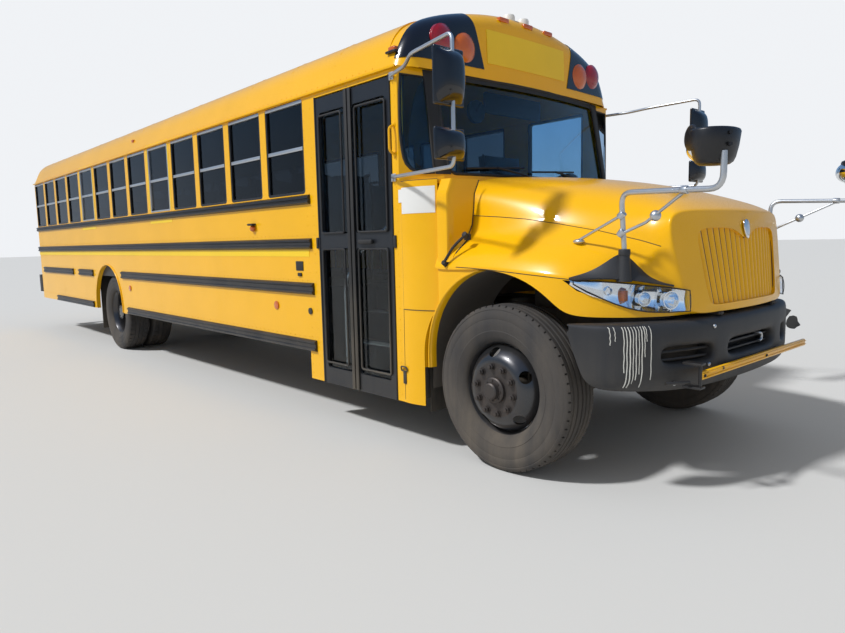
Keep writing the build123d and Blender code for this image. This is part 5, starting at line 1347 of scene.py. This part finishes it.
domes = [spun([(.046, -.03), (.046, .018), (.040, .030), (.026, .036), (.0005, .038), (.0005, -.03)],
              at(-.800, y, 3.045), (0, 0, 1), 28) for y in (-.098, .066)]
finished(joined(domes), "roofDomes", "coach", "hatch", whitePlastic)
print("front cap made")

# Windshield surround: yellow frame with its corner windows, rubber, dark pillars, wipers
screen = {
    "half": 0.925,
    "foot": 1.850,
    "head": 2.535,
    "pillarY": 0.970,
    "bead": 0.0105,
    "corner": (  # share across the corner panel, height
        (.10, 2.492), (.065, 2.38), (.05, 2.26), (.05, 2.13), (.065, 2.06), (.085, 2.005), (.12, 1.950),
        (.17, 1.913), (.27, 1.882), (.41, 1.862), (.58, 1.853), (.80, 1.853), (.815, 2.04), (.84, 2.24),
        (.86, 2.492)),
}


def wrapX(y, z):
    share = (z - cowlLook["head"]) / (gutter - cowlLook["head"])
    pillarX = ahead(-.625 - .145 * share)
    centreX = ahead(-.520 - .170 * share)
    if abs(y) <= screen["pillarY"]:
        return centreX + (pillarX - centreX) * (y / screen["pillarY"]) ** 2
    return pillarX + (ahead(-.800) - pillarX) * (abs(y) - screen["pillarY"]) / (bodyHalf - screen["pillarY"])


def screenOutline(half, foot, head, radius):
    points = cornerRing(-half, half, foot, head, radius, 6)
    full = []
    for first, second in zip(points, points[1:] + points[:1]):
        count = max(1, int(hypot(second[0] - first[0], second[1] - first[1]) / 0.12))
        full += [(first[0] + (second[0] - first[0]) * part / count,
                  first[1] + (second[1] - first[1]) * part / count)
                 for part in range(count)]
    return full


def cornerSpot(share, z, side, out=0.0):
    pillarX = wrapX(screen["pillarY"], z)
    return Vector((ahead(-.800) + (pillarX - ahead(-.800)) * share + out * .5,
                   side * (bodyHalf - (bodyHalf - screen["pillarY"]) * share + out * .8), z))


seal = tube([Vector((wrapX(y, z) + .001, y, z))
             for y, z in screenOutline(screen["half"], screen["foot"], screen["head"], .060)],
            screen["bead"], 3, True)
band = sheetFrom([[Vector((wrapX(y, z) + .0022, y, z)) for y in [-.93 + .062 * step for step in range(31)]]
                  for z in (2.497, gutter)])
walled(band, .002)
across = spaced(-.974, .974, 30)
frameParts = []
for foot, head in ((1.790, screen["foot"] + .004), (screen["head"] - .004, 2.545)):
    strip = walled(sheetFrom([[Vector((wrapX(y, z), y, z)) for y in across] for z in (foot, head)]), .004)
    frameParts.append(strip)
trims = [seal, band]
panes = []
for side in (1, -1):
    opening = [cornerSpot(share, z, side) for share, z in screen["corner"]]
    panel = sheetFrom([[cornerSpot(share, z, side) for share in (0, .2, .4, .6, .8, 1, 1.01)]
                       for z in (1.790, 1.95, 2.10, 2.25, 2.40, 2.545)])
    cutter = slab([point + Vector((.04, side * .06, 0)) for point in opening], (-.08, -side * .12, 0))
    frameParts.append(cutAway(walled(panel, .004), cutter))
    panes.append(slab(opening, (-.003, -side * .004, 0)))
    trims.append(tube([cornerSpot(share, z, side, .001) for share, z in screen["corner"]],
                      screen["bead"] * .75, 3, True))
    deep = [point + Vector((-.012, -side * .045, 0)) for point in opening]
    liner = walled(sheetFrom([opening + opening[:1], deep + deep[:1]]), .003)
    trims.append(liner)
    rows = []
    for step in range(9):
        z = screen["foot"] - .004 + (gutter - screen["foot"] + .004) * step / 8
        spots = [Vector((wrapX(y, z) + .004, side * y, z))
                 for y in (screen["half"] - .012, .945, screen["pillarY"])]
        rows.append(spots + [cornerSpot(share, z, side, .004) for share in (.91, .83)])
    pillar = walled(sheetFrom(rows), .004)
    trims.append(pillar)
finished(joined(frameParts), "windshieldFrame", "coach", "yellow", busYellow, "windshield_frame", smooth=40)
finished(joined(panes), "cornerPanes", "coach", "clear_glass", screenGlass)
finished(joined(trims), "windshieldRubber", "coach", "black_trim", blackRubber)
wipers = []
for y, reach in ((-.10, -.56), (.62, .06)):
    pivot = Vector((wrapX(y, 1.835) + .030, y, 1.822))
    tipY, tipZ = y + (reach - y) * .9, 1.905
    tip = Vector((wrapX(tipY, tipZ) + .020, tipY, tipZ))
    wipers.append(barrel((pivot.x - .05, pivot.y, pivot.z - .012), pivot + Vector((.012, 0, 0)), .018, 16,
                         bevel=.003))
    wipers.append(tube([pivot, pivot.lerp(tip, .5) + Vector((.014, 0, .004)), tip], .0075, 3))
    blade = [Vector((wrapX(b, 1.902 + .05 * (b - reach)) + .010, b, 1.902 + .05 * (b - reach)))
             for b in [tipY - .27 + .045 * step for step in range(13)]]
    wipers.append(tube(blade, .0070, 2))
finished(joined(wipers), "wipers", "coach", "black_trim", trimBlack)
print("windshield trimmed")


# Side trim: sash bars, bright frames of the exit windows, ribbed rub rails, drip rail,
# rivets, reflecting stripes and small lamps
sideLook = {
    "pitch": 0.690,
    "count": 13,
    "firstX": -2.2455,
    "width": 0.590,
    "sill": 1.795,
    "head": 2.527,
    "bar": 2.151,
    "exits": (4, 8),
    "stripeFoot": 1.299,
    "stripeHead": 1.355,
    "rivetPitch": 0.075,
    "film": (0.0022, 0.0004),
}
sideRails = (  # foot, head, then each run's rear and front end
    (1.712, 1.784, ((-10.860, -1.888),)),
    (1.359, 1.445, ((-10.860, -1.885),)),
    (.994, 1.091, ((-10.600, -8.753), (-8.428, -7.730), (-6.481, -1.876))),
    (.536, .629, ((-9.816, -7.787), (-6.310, -1.867))),
)


def rivetRow(x, z, count, step, radius=.0055, dome=.0028):
    rivet = ball((x, -bodyHalf - .0004, z), (radius, dome, radius), 6, 4)
    return rowOf(rivet, count, step)


def film(rear, foot, front, head):
    out, back = sideLook["film"]
    return block((rear, -bodyHalf - out, foot), (front, -bodyHalf - back, head))


def railRun(rear, front, foot, head):
    section = (
        (.0005, foot), (.012, foot + .003), (.026, foot + .013), (.027, foot + .025), (.017, foot + .033),
        (.017, head - .033), (.027, head - .025), (.026, head - .013), (.012, head - .003), (.0005, head))
    return slab([Vector(at(rear, -bodyHalf - out, z)) for out, z in section], (front - rear, 0, 0))


runs = [railRun(rear, front, foot, head) for foot, head, parts in sideRails for rear, front in parts]
finished(bothSides(joined(runs)), "rubRails", "coach", "black_trim", trimBlack, "rub_rails", smooth=25)
halfPane = sideLook["width"] / 2 - .020
centreX = ahead(sideLook["firstX"])
bar = block((centreX - halfPane, -bodyHalf + .004, sideLook["bar"] - .015),
            (centreX + halfPane, -bodyHalf + .016, sideLook["bar"] + .015), .003)
strip = block((centreX - halfPane - .012, -bodyHalf - .001, sideLook["head"] - .030),
              (centreX + halfPane + .012, -bodyHalf + .030, sideLook["head"] - .004), .003)
bars = rowOf(joined([bar, strip]), sideLook["count"], (-sideLook["pitch"], 0, 0))
exitFrames = []
paneFoot, paneHead = sideLook["sill"], sideLook["head"]
for place in sideLook["exits"]:
    x = centreX - sideLook["pitch"] * place
    paneRear, paneFront = x - halfPane, x + halfPane
    for startX, endX, foot, head in ((paneRear - .015, paneRear + .003, paneFoot + .003, paneHead - .008),
                                     (paneFront - .003, paneFront + .015, paneFoot + .003, paneHead - .008),
                                     (paneRear, paneFront, paneFoot + .002, paneFoot + .020)):
        exitFrames.append(block((startX, -bodyHalf - .002, foot), (endX, -bodyHalf + .030, head), .003))
finished(bothSides(joined([bars] + exitFrames)), "sashBars", "coach", "sash", brightSash)
drip = block(at(-10.87, -bodyHalf - .019, 2.538), at(-.80, -bodyHalf + .001, 2.546), .003)
dripEdge = block(at(-10.87, -bodyHalf - .021, 2.532), at(-.80, -bodyHalf - .016, 2.549), .002)
sill = block(at(-10.86, -bodyHalf - .006, 1.786), at(-1.89, -bodyHalf + .001, 1.793), .002)
arcs = [(ahead(-7.100) - .566 * cos(radians(turn)), -bodyHalf - .004, .605 + .566 * sin(radians(turn)))
        for turn in range(-6, 187, 6)]
archEdge = tube(arcs, .009, 3)
finished(bothSides(joined([drip, dripEdge, sill, archEdge])), "dripRails", "coach", "yellow", busYellow)
along = (sideLook["rivetPitch"], 0, 0)
rivets = [rivetRow(ahead(x), z, count, along) for x, z, count in (
    (-10.80, 2.568, 131), (-10.80, 1.470, 118), (-10.80, 1.106, 41), (-6.40, 1.106, 60), (-10.80, .650, 41),
    (-6.40, .650, 60))]
rivets += [rivetRow(ahead(x), .36, 30, (0, 0, .074), .0050, .0026) for x in (-1.935, -1.845, -.825)]
rivets += [rivetRow(centreX - sideLook["pitch"] * (place + .5), 1.83, 9, (0, 0, .082), .0050, .0026)
           for place in range(sideLook["count"] - 1)]
finished(bothSides(joined(rivets)), "bodyRivets", "coach", "yellow", busYellow)
stripes = [film(ahead(-10.87), sideLook["stripeFoot"], ahead(-1.93), sideLook["stripeHead"])]
half = sideLook["width"] / 2
for place in sideLook["exits"]:
    x = centreX - sideLook["pitch"] * place
    stripes += [film(x - half - .03, 2.553, x + half + .03, 2.563),
                film(x - half - .03, 1.668, x + half + .03, 1.702),
                film(x - half - .034, 1.80, x - half - .008, 2.525),
                film(x + half + .008, 1.80, x + half + .034, 2.525)]
finished(bothSides(joined(stripes)), "reflectingStripes", "coach", "yellow", reflectYellow)
plates = [block(at(-2.135, -bodyHalf - .006, 1.186), at(-2.025, -bodyHalf - .0004, 1.262), .003),
          block(at(-2.105, -bodyHalf - .012, 1.140), at(-2.050, -bodyHalf - .0004, 1.168), .004),
          barrel(at(-1.941, -bodyHalf - .0004, .863), at(-1.941, -bodyHalf - .010, .863), .026, 20),
          block(at(-2.870, -bodyHalf - .046, 1.572), at(-2.780, -bodyHalf - .0004, 1.590), .006)]
finished(joined(plates), "sidePlates", "coach", "black_trim", blackRubber)
amber = [barrel(at(x, -bodyHalf - .0004, .880), at(x, -bodyHalf - .010, .880), .036, 24, bevel=.003)
         for x in (-2.481, -6.20)]
amber.append(ball(at(-2.825, -bodyHalf - .012, 1.546), (.032, .026, .028), 20, 12))
finished(bothSides(joined(amber)), "sideAmber", "coach", "lamp_colour", amberLens)
print("side trim made")


# Entrance door: beads round the panes, rubber edges, a handle, hinges and what the step
# well shows through the glass
doorLook = {
    "outer": -1.219,
    "bead": 0.0075,
}
doorPanes = (  # leaf, rear edge, front edge, foot, head
    ("door_front_leaf", -1.259, -.922, 1.478, 2.352),
    ("door_front_leaf", -1.259, -.922, .480, 1.357),
    ("door_rear_leaf", -1.717, -1.428, 1.478, 2.352),
    ("door_rear_leaf", -1.717, -1.428, .480, 1.357),
)


leafY = doorLook["outer"]
hinges = []
for leaf, name, inward in (("door_front_leaf", "frontLeafTrim", 1), ("door_rear_leaf", "rearLeafTrim", -1)):
    low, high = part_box(leaf)
    beads = [tube([Vector((x, low[1] - .001, z))
                   for x, z in cornerRing(ahead(rear), ahead(front), foot, head, .020)],
                  doorLook["bead"], 2, True)
             for paneLeaf, rear, front, foot, head in doorPanes if paneLeaf == leaf]
    seamX, hingeX = (low[0], high[0] + .003) if inward > 0 else (high[0], low[0] - .003)
    beads.append(block((seamX + inward * .004, low[1] - .006, low[2] + .006),
                       (seamX + inward * .040, low[1] + .004, high[2] - .006), .005))
    hinges.append(block((hingeX, leafY - .012, 1.363), (hingeX + inward * .028, leafY + .006, 1.447), .005))
    if leaf == "door_front_leaf":
        beads.append(block(at(-1.245, low[1] - .022, 1.392), at(-1.085, low[1] + .004, 1.424), .009, 3))
    finished(joined(beads), name, leaf, "door_black", blackRubber)
finished(joined(hinges), "doorHinges", "coach", "black_trim", blackRubber)
handle = tube(roundedPath([at(-.838, -1.221, 2.170), at(-.838, -1.262, 2.150), at(-.838, -1.262, 2.000),
                           at(-.838, -1.221, 1.980)], .025), .0085, 3)
feet = [ball(at(-.838, -1.222, z), (.016, .004, .022), 16, 8) for z in (2.172, 1.978)]
finished(joined([handle] + feet), "grabHandle", "coach", "yellow", busYellow)
nosings = []
for step in range(3):
    z = .380 + step * .2267
    y = -1.144 + step * (1.144 - .60) / 3
    nosings.append(block(at(-1.775, y - .003, z - .034), at(-.872, y + .110, z + .004), .006))
finished(joined(nosings), "stepNosings", "coach", "step", paleNosing)
rail = tube(roundedPath([at(-1.62, -1.10, .42), at(-1.62, -1.10, 1.10), at(-1.50, -1.02, 1.36),
                         at(-1.32, -.90, 1.52)], .12), .014, 3)
rail = joined([rail, tube([at(-1.62, -1.10, .98), at(-1.72, -1.06, .98)], .010, 3)])
finished(rail, "stepRail", "coach", "tube", chrome, smooth=50)
print("door trimmed")


# Driving mirrors: a bent tube carrying a flat and a convex head in dark curved housings
mirrorLook = {
    "rootX": -0.848,
    "tubeX": -0.050,
    "tubeY": 1.450,
    "rootZ": (1.828, 2.483),
    "endZ": (1.815, 2.530),
    "tube": 0.0115,
}
mirrorHeads = (  # foot, height, width, depth, fore and aft place, across place
    (2.140, .310, .225, .095, -.050, 1.462),
    (1.848, .175, .225, .085, -.050, 1.462),
)
tubes, housings, faces = [], [], []
rootX, tubeX, tubeY = ahead(mirrorLook["rootX"]), ahead(mirrorLook["tubeX"]), mirrorLook["tubeY"]
rootY = bodyHalf + .012
lowRoot, highRoot = mirrorLook["rootZ"]
lowEnd, highEnd = mirrorLook["endZ"]
loop = roundedPath([(rootX, rootY, lowRoot), (rootX + .06, rootY + .030, lowRoot), (tubeX, tubeY, lowEnd),
                    (tubeX, tubeY, highEnd), at(-.47, 1.385, 2.515), at(-.62, 1.300, 2.490),
                    (rootX, rootY, highRoot)], .05)
tubes.append(tube(loop, mirrorLook["tube"], 4))
for z in mirrorLook["rootZ"]:
    tubes.append(block((rootX - .022, bodyHalf + .001, z - .026),
                       (rootX + .022, bodyHalf + .010, z + .026), .003))
    tubes.append(barrel((rootX, bodyHalf + .008, z - .020), (rootX, bodyHalf + .020, z - .020), .006, 12))
for foot, height, width, depth, x, y in mirrorHeads:
    rimLow, rimHigh = at(x, y - width / 2, foot), at(x, y + width / 2, foot + height)
    rim = block((rimLow[0] - .035, *rimLow[1:]), (rimHigh[0] - .010, *rimHigh[1:]), .010, 4)
    shellRows = []
    for tall in spaced(-1, 1, 8):
        row = []
        for wide in spaced(-1, 1, 10):
            fall = max(0.0, 1 - abs(tall) ** 3.2) ** .55 * max(0.0, 1 - abs(wide) ** 2.8) ** .60
            row.append(Vector((ahead(x) - .024 + depth * .80 * fall, y + wide * width * .49,
                               foot + height / 2 + tall * height * .49)))
        shellRows.append(row)
    back = walled(smoother(sheetFrom(shellRows), 1), .003)
    middle = foot + height * .5
    clamp = block((tubeX - .020, tubeY - .024, middle - .022), (tubeX + .026, tubeY + .024, middle + .022),
                  .006)
    housings += [rim, back, clamp]
    faces.append(block((ahead(x) - .0372, y - width / 2 + .010, foot + .010),
                       (ahead(x) - .0352, y + width / 2 - .010, foot + height - .010)))
finished(bothSides(joined(tubes)), "mirrorTubes", "coach", "tube", galvanised, "side_mirrors", smooth=50)
finished(bothSides(joined(housings)), "mirrorHousings", "coach", "black_trim", capBlack, smooth=50)
finished(bothSides(joined(faces)), "mirrorFaces", "coach", "tube", mirrorFace)
print("driving mirrors made")


# Seats: swollen vinyl cushions and backs made by cloth under pressure, then copied to each
# bench, over tubular frames
seatLook = {
    "pitch": 0.705,
    "firstBack": -2.330,
    "rows": 12,
    "squabFoot": 1.376,
    "squabHead": 1.486,
    "backHead": 2.074,
    "outerY": 1.150,
    "innerY": 0.208,
    "cell": 0.040,
    "keep": 0.82,
    "pressure": 3.2,
    "frames": 12,
}


def swollen(low, high, lean=0.0):
    low, high = Vector(low), Vector(high)
    middle, half = (low + high) / 2, (high - low) / 2
    bpy.ops.mesh.primitive_cube_add(size=2)
    pad = activeObject()
    pad.scale = half * seatLook["keep"] + half * .10
    settle(pad)
    editing(pad)
    for axis in range(3):
        cells = max(2, int(half[axis] * 2 / seatLook["cell"]))
        span = half[axis] * seatLook["keep"] + half[axis] * .10
        normal = [0, 0, 0]
        normal[axis] = 1
        for cut in range(1, cells):
            place = [0, 0, 0]
            place[axis] = -span + 2 * span * cut / cells
            bpy.ops.mesh.select_all(action="SELECT")
            bpy.ops.mesh.bisect(plane_co=place, plane_no=normal)
    doneEditing()
    only(pad)
    cloth = pad.modifiers.new("Cloth", "CLOTH")
    cloth.settings.use_pressure = True
    cloth.settings.uniform_pressure_force = seatLook["pressure"]
    cloth.settings.quality = 5
    cloth.settings.effector_weights.gravity = 0
    cloth.settings.tension_stiffness = 40
    cloth.settings.compression_stiffness = 40
    cloth.settings.bending_stiffness = 4
    for frame in range(1, seatLook["frames"]):
        bpy.context.scene.frame_set(frame)
    bpy.ops.object.modifier_apply(modifier="Cloth")
    bpy.context.scene.frame_set(1)
    for vertex in pad.data.vertices:
        for axis in range(3):
            vertex.co[axis] = max(-half[axis], min(half[axis], vertex.co[axis]))
        vertex.co += middle + Vector((lean * (vertex.co.z + half.z), 0, 0))
    pad.data.update()
    return pad


def spread(piece):
    return bothSides(rowOf(piece, seatLook["rows"], (-seatLook["pitch"], 0, 0)))


backX = ahead(seatLook["firstBack"])
squab = swollen((backX + .004, seatLook["innerY"], seatLook["squabFoot"]),
                (backX + .394, seatLook["outerY"], seatLook["squabHead"]))
back = swollen((backX - .046, seatLook["innerY"], seatLook["squabHead"] - .06),
               (backX + .034, seatLook["outerY"], seatLook["backHead"]), -.050)
for pad, name, bodies in ((squab, "seatSquabs", ("seats",)), (back, "seatBacks", ())):
    pad = finished(spread(pad), name, "coach", "seat", seatVinyl, *bodies, smooth=60)
legs = [tube([(backX - .030, .216, 1.50), (backX - .080, .216, 2.06)], .004, 1)]
for y in (.330, 1.020):
    for x in (backX + .06, backX + .33):
        legs.append(barrel((x, y, 1.064), (x, y, seatLook["squabFoot"]), .0125, 10))
    legs.append(block((backX + .03, y - .025, 1.062), (backX + .36, y + .025, 1.068)))
legs.append(block((backX + .02, seatLook["innerY"] + .01, seatLook["squabFoot"] - .020),
                  (backX + .38, seatLook["outerY"] - .01, seatLook["squabFoot"] - .004), .004))
finished(spread(joined(legs)), "seatFrames", "coach", "seat", chassisBlack, smooth=40)
driverX = ahead(-1.480)
driverSquab = swollen((driverX + .01, .375, 1.505), (driverX + .450, .865, 1.615))
driverBack = swollen((driverX - .055, .375, 1.600), (driverX + .055, .865, 2.175), -.11)
for pad, name in ((driverSquab, "driverSquab"), (driverBack, "driverBack")):
    finished(pad, name, "coach", "seat", seatVinyl, smooth=60)
post = barrel((driverX + .20, .62, 1.062), (driverX + .20, .62, 1.500), .10, 24, bevel=.02)
plate = block((driverX + .03, .43, 1.490), (driverX + .40, .81, 1.506), .004)
belt = tube([(driverX - .03, .372, 2.16), (driverX + .03, .372, 1.80), (driverX + .10, .368, 1.50)], .010, 1)
finished(joined([post, plate, belt]), "driverPedestal", "coach", "seat", dashPlastic, smooth=40)

# Dash details: a hooded instrument panel, a fan and the driver's inside mirror
cowling = block(at(-.905, .34, 1.740), at(-.740, .92, 1.830), .035, 4)
panel = block(at(-.872, .40, 1.640), at(-.850, .86, 1.760), .006)
finished(joined([cowling, panel]), "dashHood", "coach", "dash", dashPlastic)
fan = joined([barrel(at(-.93, -.35, 2.36), at(-.90, -.35, 2.36), .085, 24),
              barrel(at(-.90, -.35, 2.36), at(-.86, -.35, 2.42), .012, 10)])
insideMirror = block(at(-.93, -.26, 2.36), at(-.90, .42, 2.52), .02, 3)
finished(joined([fan, insideMirror]), "insideMirror", "coach", "dash", dashPlastic)
print("inside made")


# Rear end and roof: lamps, rubber of the windows, door fittings, reflecting border, seams
rearLook = {
    "warningRadius": 0.083,
    "tailRadius": 0.078,
    "turnRadius": 0.050,
    "markerRadius": 0.022,
}
wallX = bodyRear
rearRed = [roundLens(side * y, z, wallX - .002, rearLook[radius], -1)
           for y, z, radius in ((.878, 2.760, "warningRadius"), (.950, 1.240, "tailRadius"))
           for side in (1, -1)]
rearRed += [roundLens(y, 2.985, wallX + .01, rearLook["markerRadius"], -1) for y in (-.16, 0, .16)]
finished(joined(rearRed), "rearRedLamps", "coach", "lamp_colour", redLens, smooth=40)
rearAmber = [roundLens(side * y, z, wallX - .002, rearLook[radius], -1)
             for y, z, radius in ((.672, 2.730, "warningRadius"), (.950, 1.480, "turnRadius"))
             for side in (1, -1)]
finished(joined(rearAmber), "rearAmberLamps", "coach", "lamp_colour", amberLens, smooth=40)
ring = [Vector((wallX - .002, y, z)) for y, z in cornerRing(.642, 1.058, 1.798, 2.524, .035)]
surround = [block((wallX - .006, .56, 2.625), (wallX - .0004, .99, 2.868), .004), tube(ring, .009, 2, True)]
finished(bothSides(joined(surround)), "rearRubber", "coach", "black_trim", blackRubber)
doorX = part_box("rear_door")[0][0]
paneLow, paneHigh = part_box("rear_door_glass")
ring = [Vector((doorX - .001, y, z))
        for y, z in cornerRing(paneLow[1], paneHigh[1], paneLow[2], paneHigh[2], .03)]
fittings = [tube(ring, .008, 2, True), block((doorX - .030, .30, 1.560), (doorX - .002, .42, 1.640), .006),
            tube(roundedPath([(doorX - .004, .355, 1.600), (doorX - .060, .355, 1.600),
                              (doorX - .060, .355, 1.470)],
                             .02), .011, 3)]
finished(joined(fittings), "rearDoorFittings", "rear_door", "black_trim", blackRubber)
edges = [block((wallX - .0022, y0, z0), (wallX - .0004, y1, z1)) for y0, y1, z0, z1 in (
    (.530, .556, 1.10, 2.56), (-.556, .556, 2.535, 2.561), (.535, 1.16, 1.62, 1.645))]
finished(bothSides(joined(edges)), "rearReflecting", "coach", "yellow", reflectYellow)
seams = []
roofNode = cadNodes["roof"]
for x in [ahead(-1.60 - .69 * place) for place in range(14)]:
    over = [roofNode.ray_cast(Vector((x, y / 100, 4)), Vector((0, 0, -1))) for y in range(-114, 115, 6)]
    if all(hit[0] and hit[2].z > .2 for hit in over) and min(abs(x - ahead(-3.9)),
                                                             abs(x - ahead(-8.3))) > .38:
        seams.append(tube([hit[1] + Vector((0, 0, .0008)) for hit in over], .0024, 1))
finished(joined(seams), "roofSeams", "coach", "yellow", busYellow)

# Stop arm: a white border on both faces of the blank octagon
armLow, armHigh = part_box("stop_arm")
centre = Vector((ahead(-1.900) - .330, 0, 1.560))
borders = []
reach = .218 / cos(pi / 8)
corners = [reach * Vector((cos(pi / 8 + pi / 4 * turn), 0, sin(pi / 8 + pi / 4 * turn))) for turn in range(9)]
for y in (armLow[1] - .0004, armHigh[1] + .0004):
    middle = centre + Vector((0, y, 0))
    band = sheetFrom([[middle + corner for corner in corners], [middle + corner * .93 for corner in corners]])
    borders.append(walled(band, .0010))
finished(joined(borders), "stopArmBorder", "stop_arm", "red_sign", signWhite)
print("rear and roof made")


# Floor, lights and the pale surroundings
studio = {
    "floorColour": (0.60, 0.60, 0.59, 1),
    "sunStrength": 3.1,
    "sunTurn": (40, 8, -32),
    "sunAngle": 5,
    "skyStrength": 0.42,
    "glossStrength": 0.62,
    "glossSky": ((0.0, (0.34, 0.32, 0.29, 1)), (0.49, (0.36, 0.35, 0.33, 1)), (0.505, (0.70, 0.78, 0.88, 1)),
                 (0.60, (0.30, 0.52, 0.84, 1)), (1.0, (0.10, 0.24, 0.56, 1))),
}
bpy.ops.mesh.primitive_plane_add(size=260, location=(0, 0, 0))
floorPlane = activeObject()
floorPlane.name = "studioFloor"
floorMaterial = bpy.data.materials.new("studioFloor")
floorMaterial.use_nodes = True
floorShader = floorMaterial.node_tree.nodes["Principled BSDF"]
floorShader.inputs["Base Color"].default_value = studio["floorColour"]
floorShader.inputs["Roughness"].default_value = 0.9
floorPlane.data.materials.append(floorMaterial)
bpy.ops.object.light_add(type="SUN", location=(0, 0, 12))
sun = activeObject()
sun.data.energy = studio["sunStrength"]
sun.data.angle = radians(studio["sunAngle"])
sun.rotation_euler = [radians(turn) for turn in studio["sunTurn"]]
world = bpy.data.worlds.new("surroundings")
bpy.context.scene.world = world
world.use_nodes = True
sky = world.node_tree
background = sky.nodes["Background"]
lightPath = sky.nodes.new("ShaderNodeLightPath")
seen = mathNode(sky, "MAXIMUM", lightPath.outputs["Is Camera Ray"], lightPath.outputs["Is Transmission Ray"])
plain = stretch(sky, seen, 0, 1, studio["skyStrength"], 0.92)
glossy = stretch(sky, lightPath.outputs["Is Glossy Ray"], 0, 1, 0,
                 studio["glossStrength"] - studio["skyStrength"])
sky.links.new(mathNode(sky, "ADD", plain, glossy), background.inputs["Strength"])
direction = sky.nodes.new("ShaderNodeTexCoord")
apart = sky.nodes.new("ShaderNodeSeparateXYZ")
sky.links.new(direction.outputs["Generated"], apart.inputs["Vector"])
ramp = sky.nodes.new("ShaderNodeValToRGB")
while len(ramp.color_ramp.elements) < len(studio["glossSky"]):
    ramp.color_ramp.elements.new(0.5)
for stop, (place, colour) in zip(ramp.color_ramp.elements, studio["glossSky"]):
    stop.position = place
    stop.color = colour
sky.links.new(stretch(sky, apart.outputs["Z"], -1, 1, 0, 1), ramp.inputs["Fac"])
choice = sky.nodes.new("ShaderNodeMixRGB")
choice.inputs["Color1"].default_value = (0.95, 0.97, 1.0, 1)
sky.links.new(lightPath.outputs["Is Glossy Ray"], choice.inputs["Fac"])
sky.links.new(ramp.outputs["Color"], choice.inputs["Color2"])
sky.links.new(choice.outputs["Color"], background.inputs["Color"])
print("studio lit")
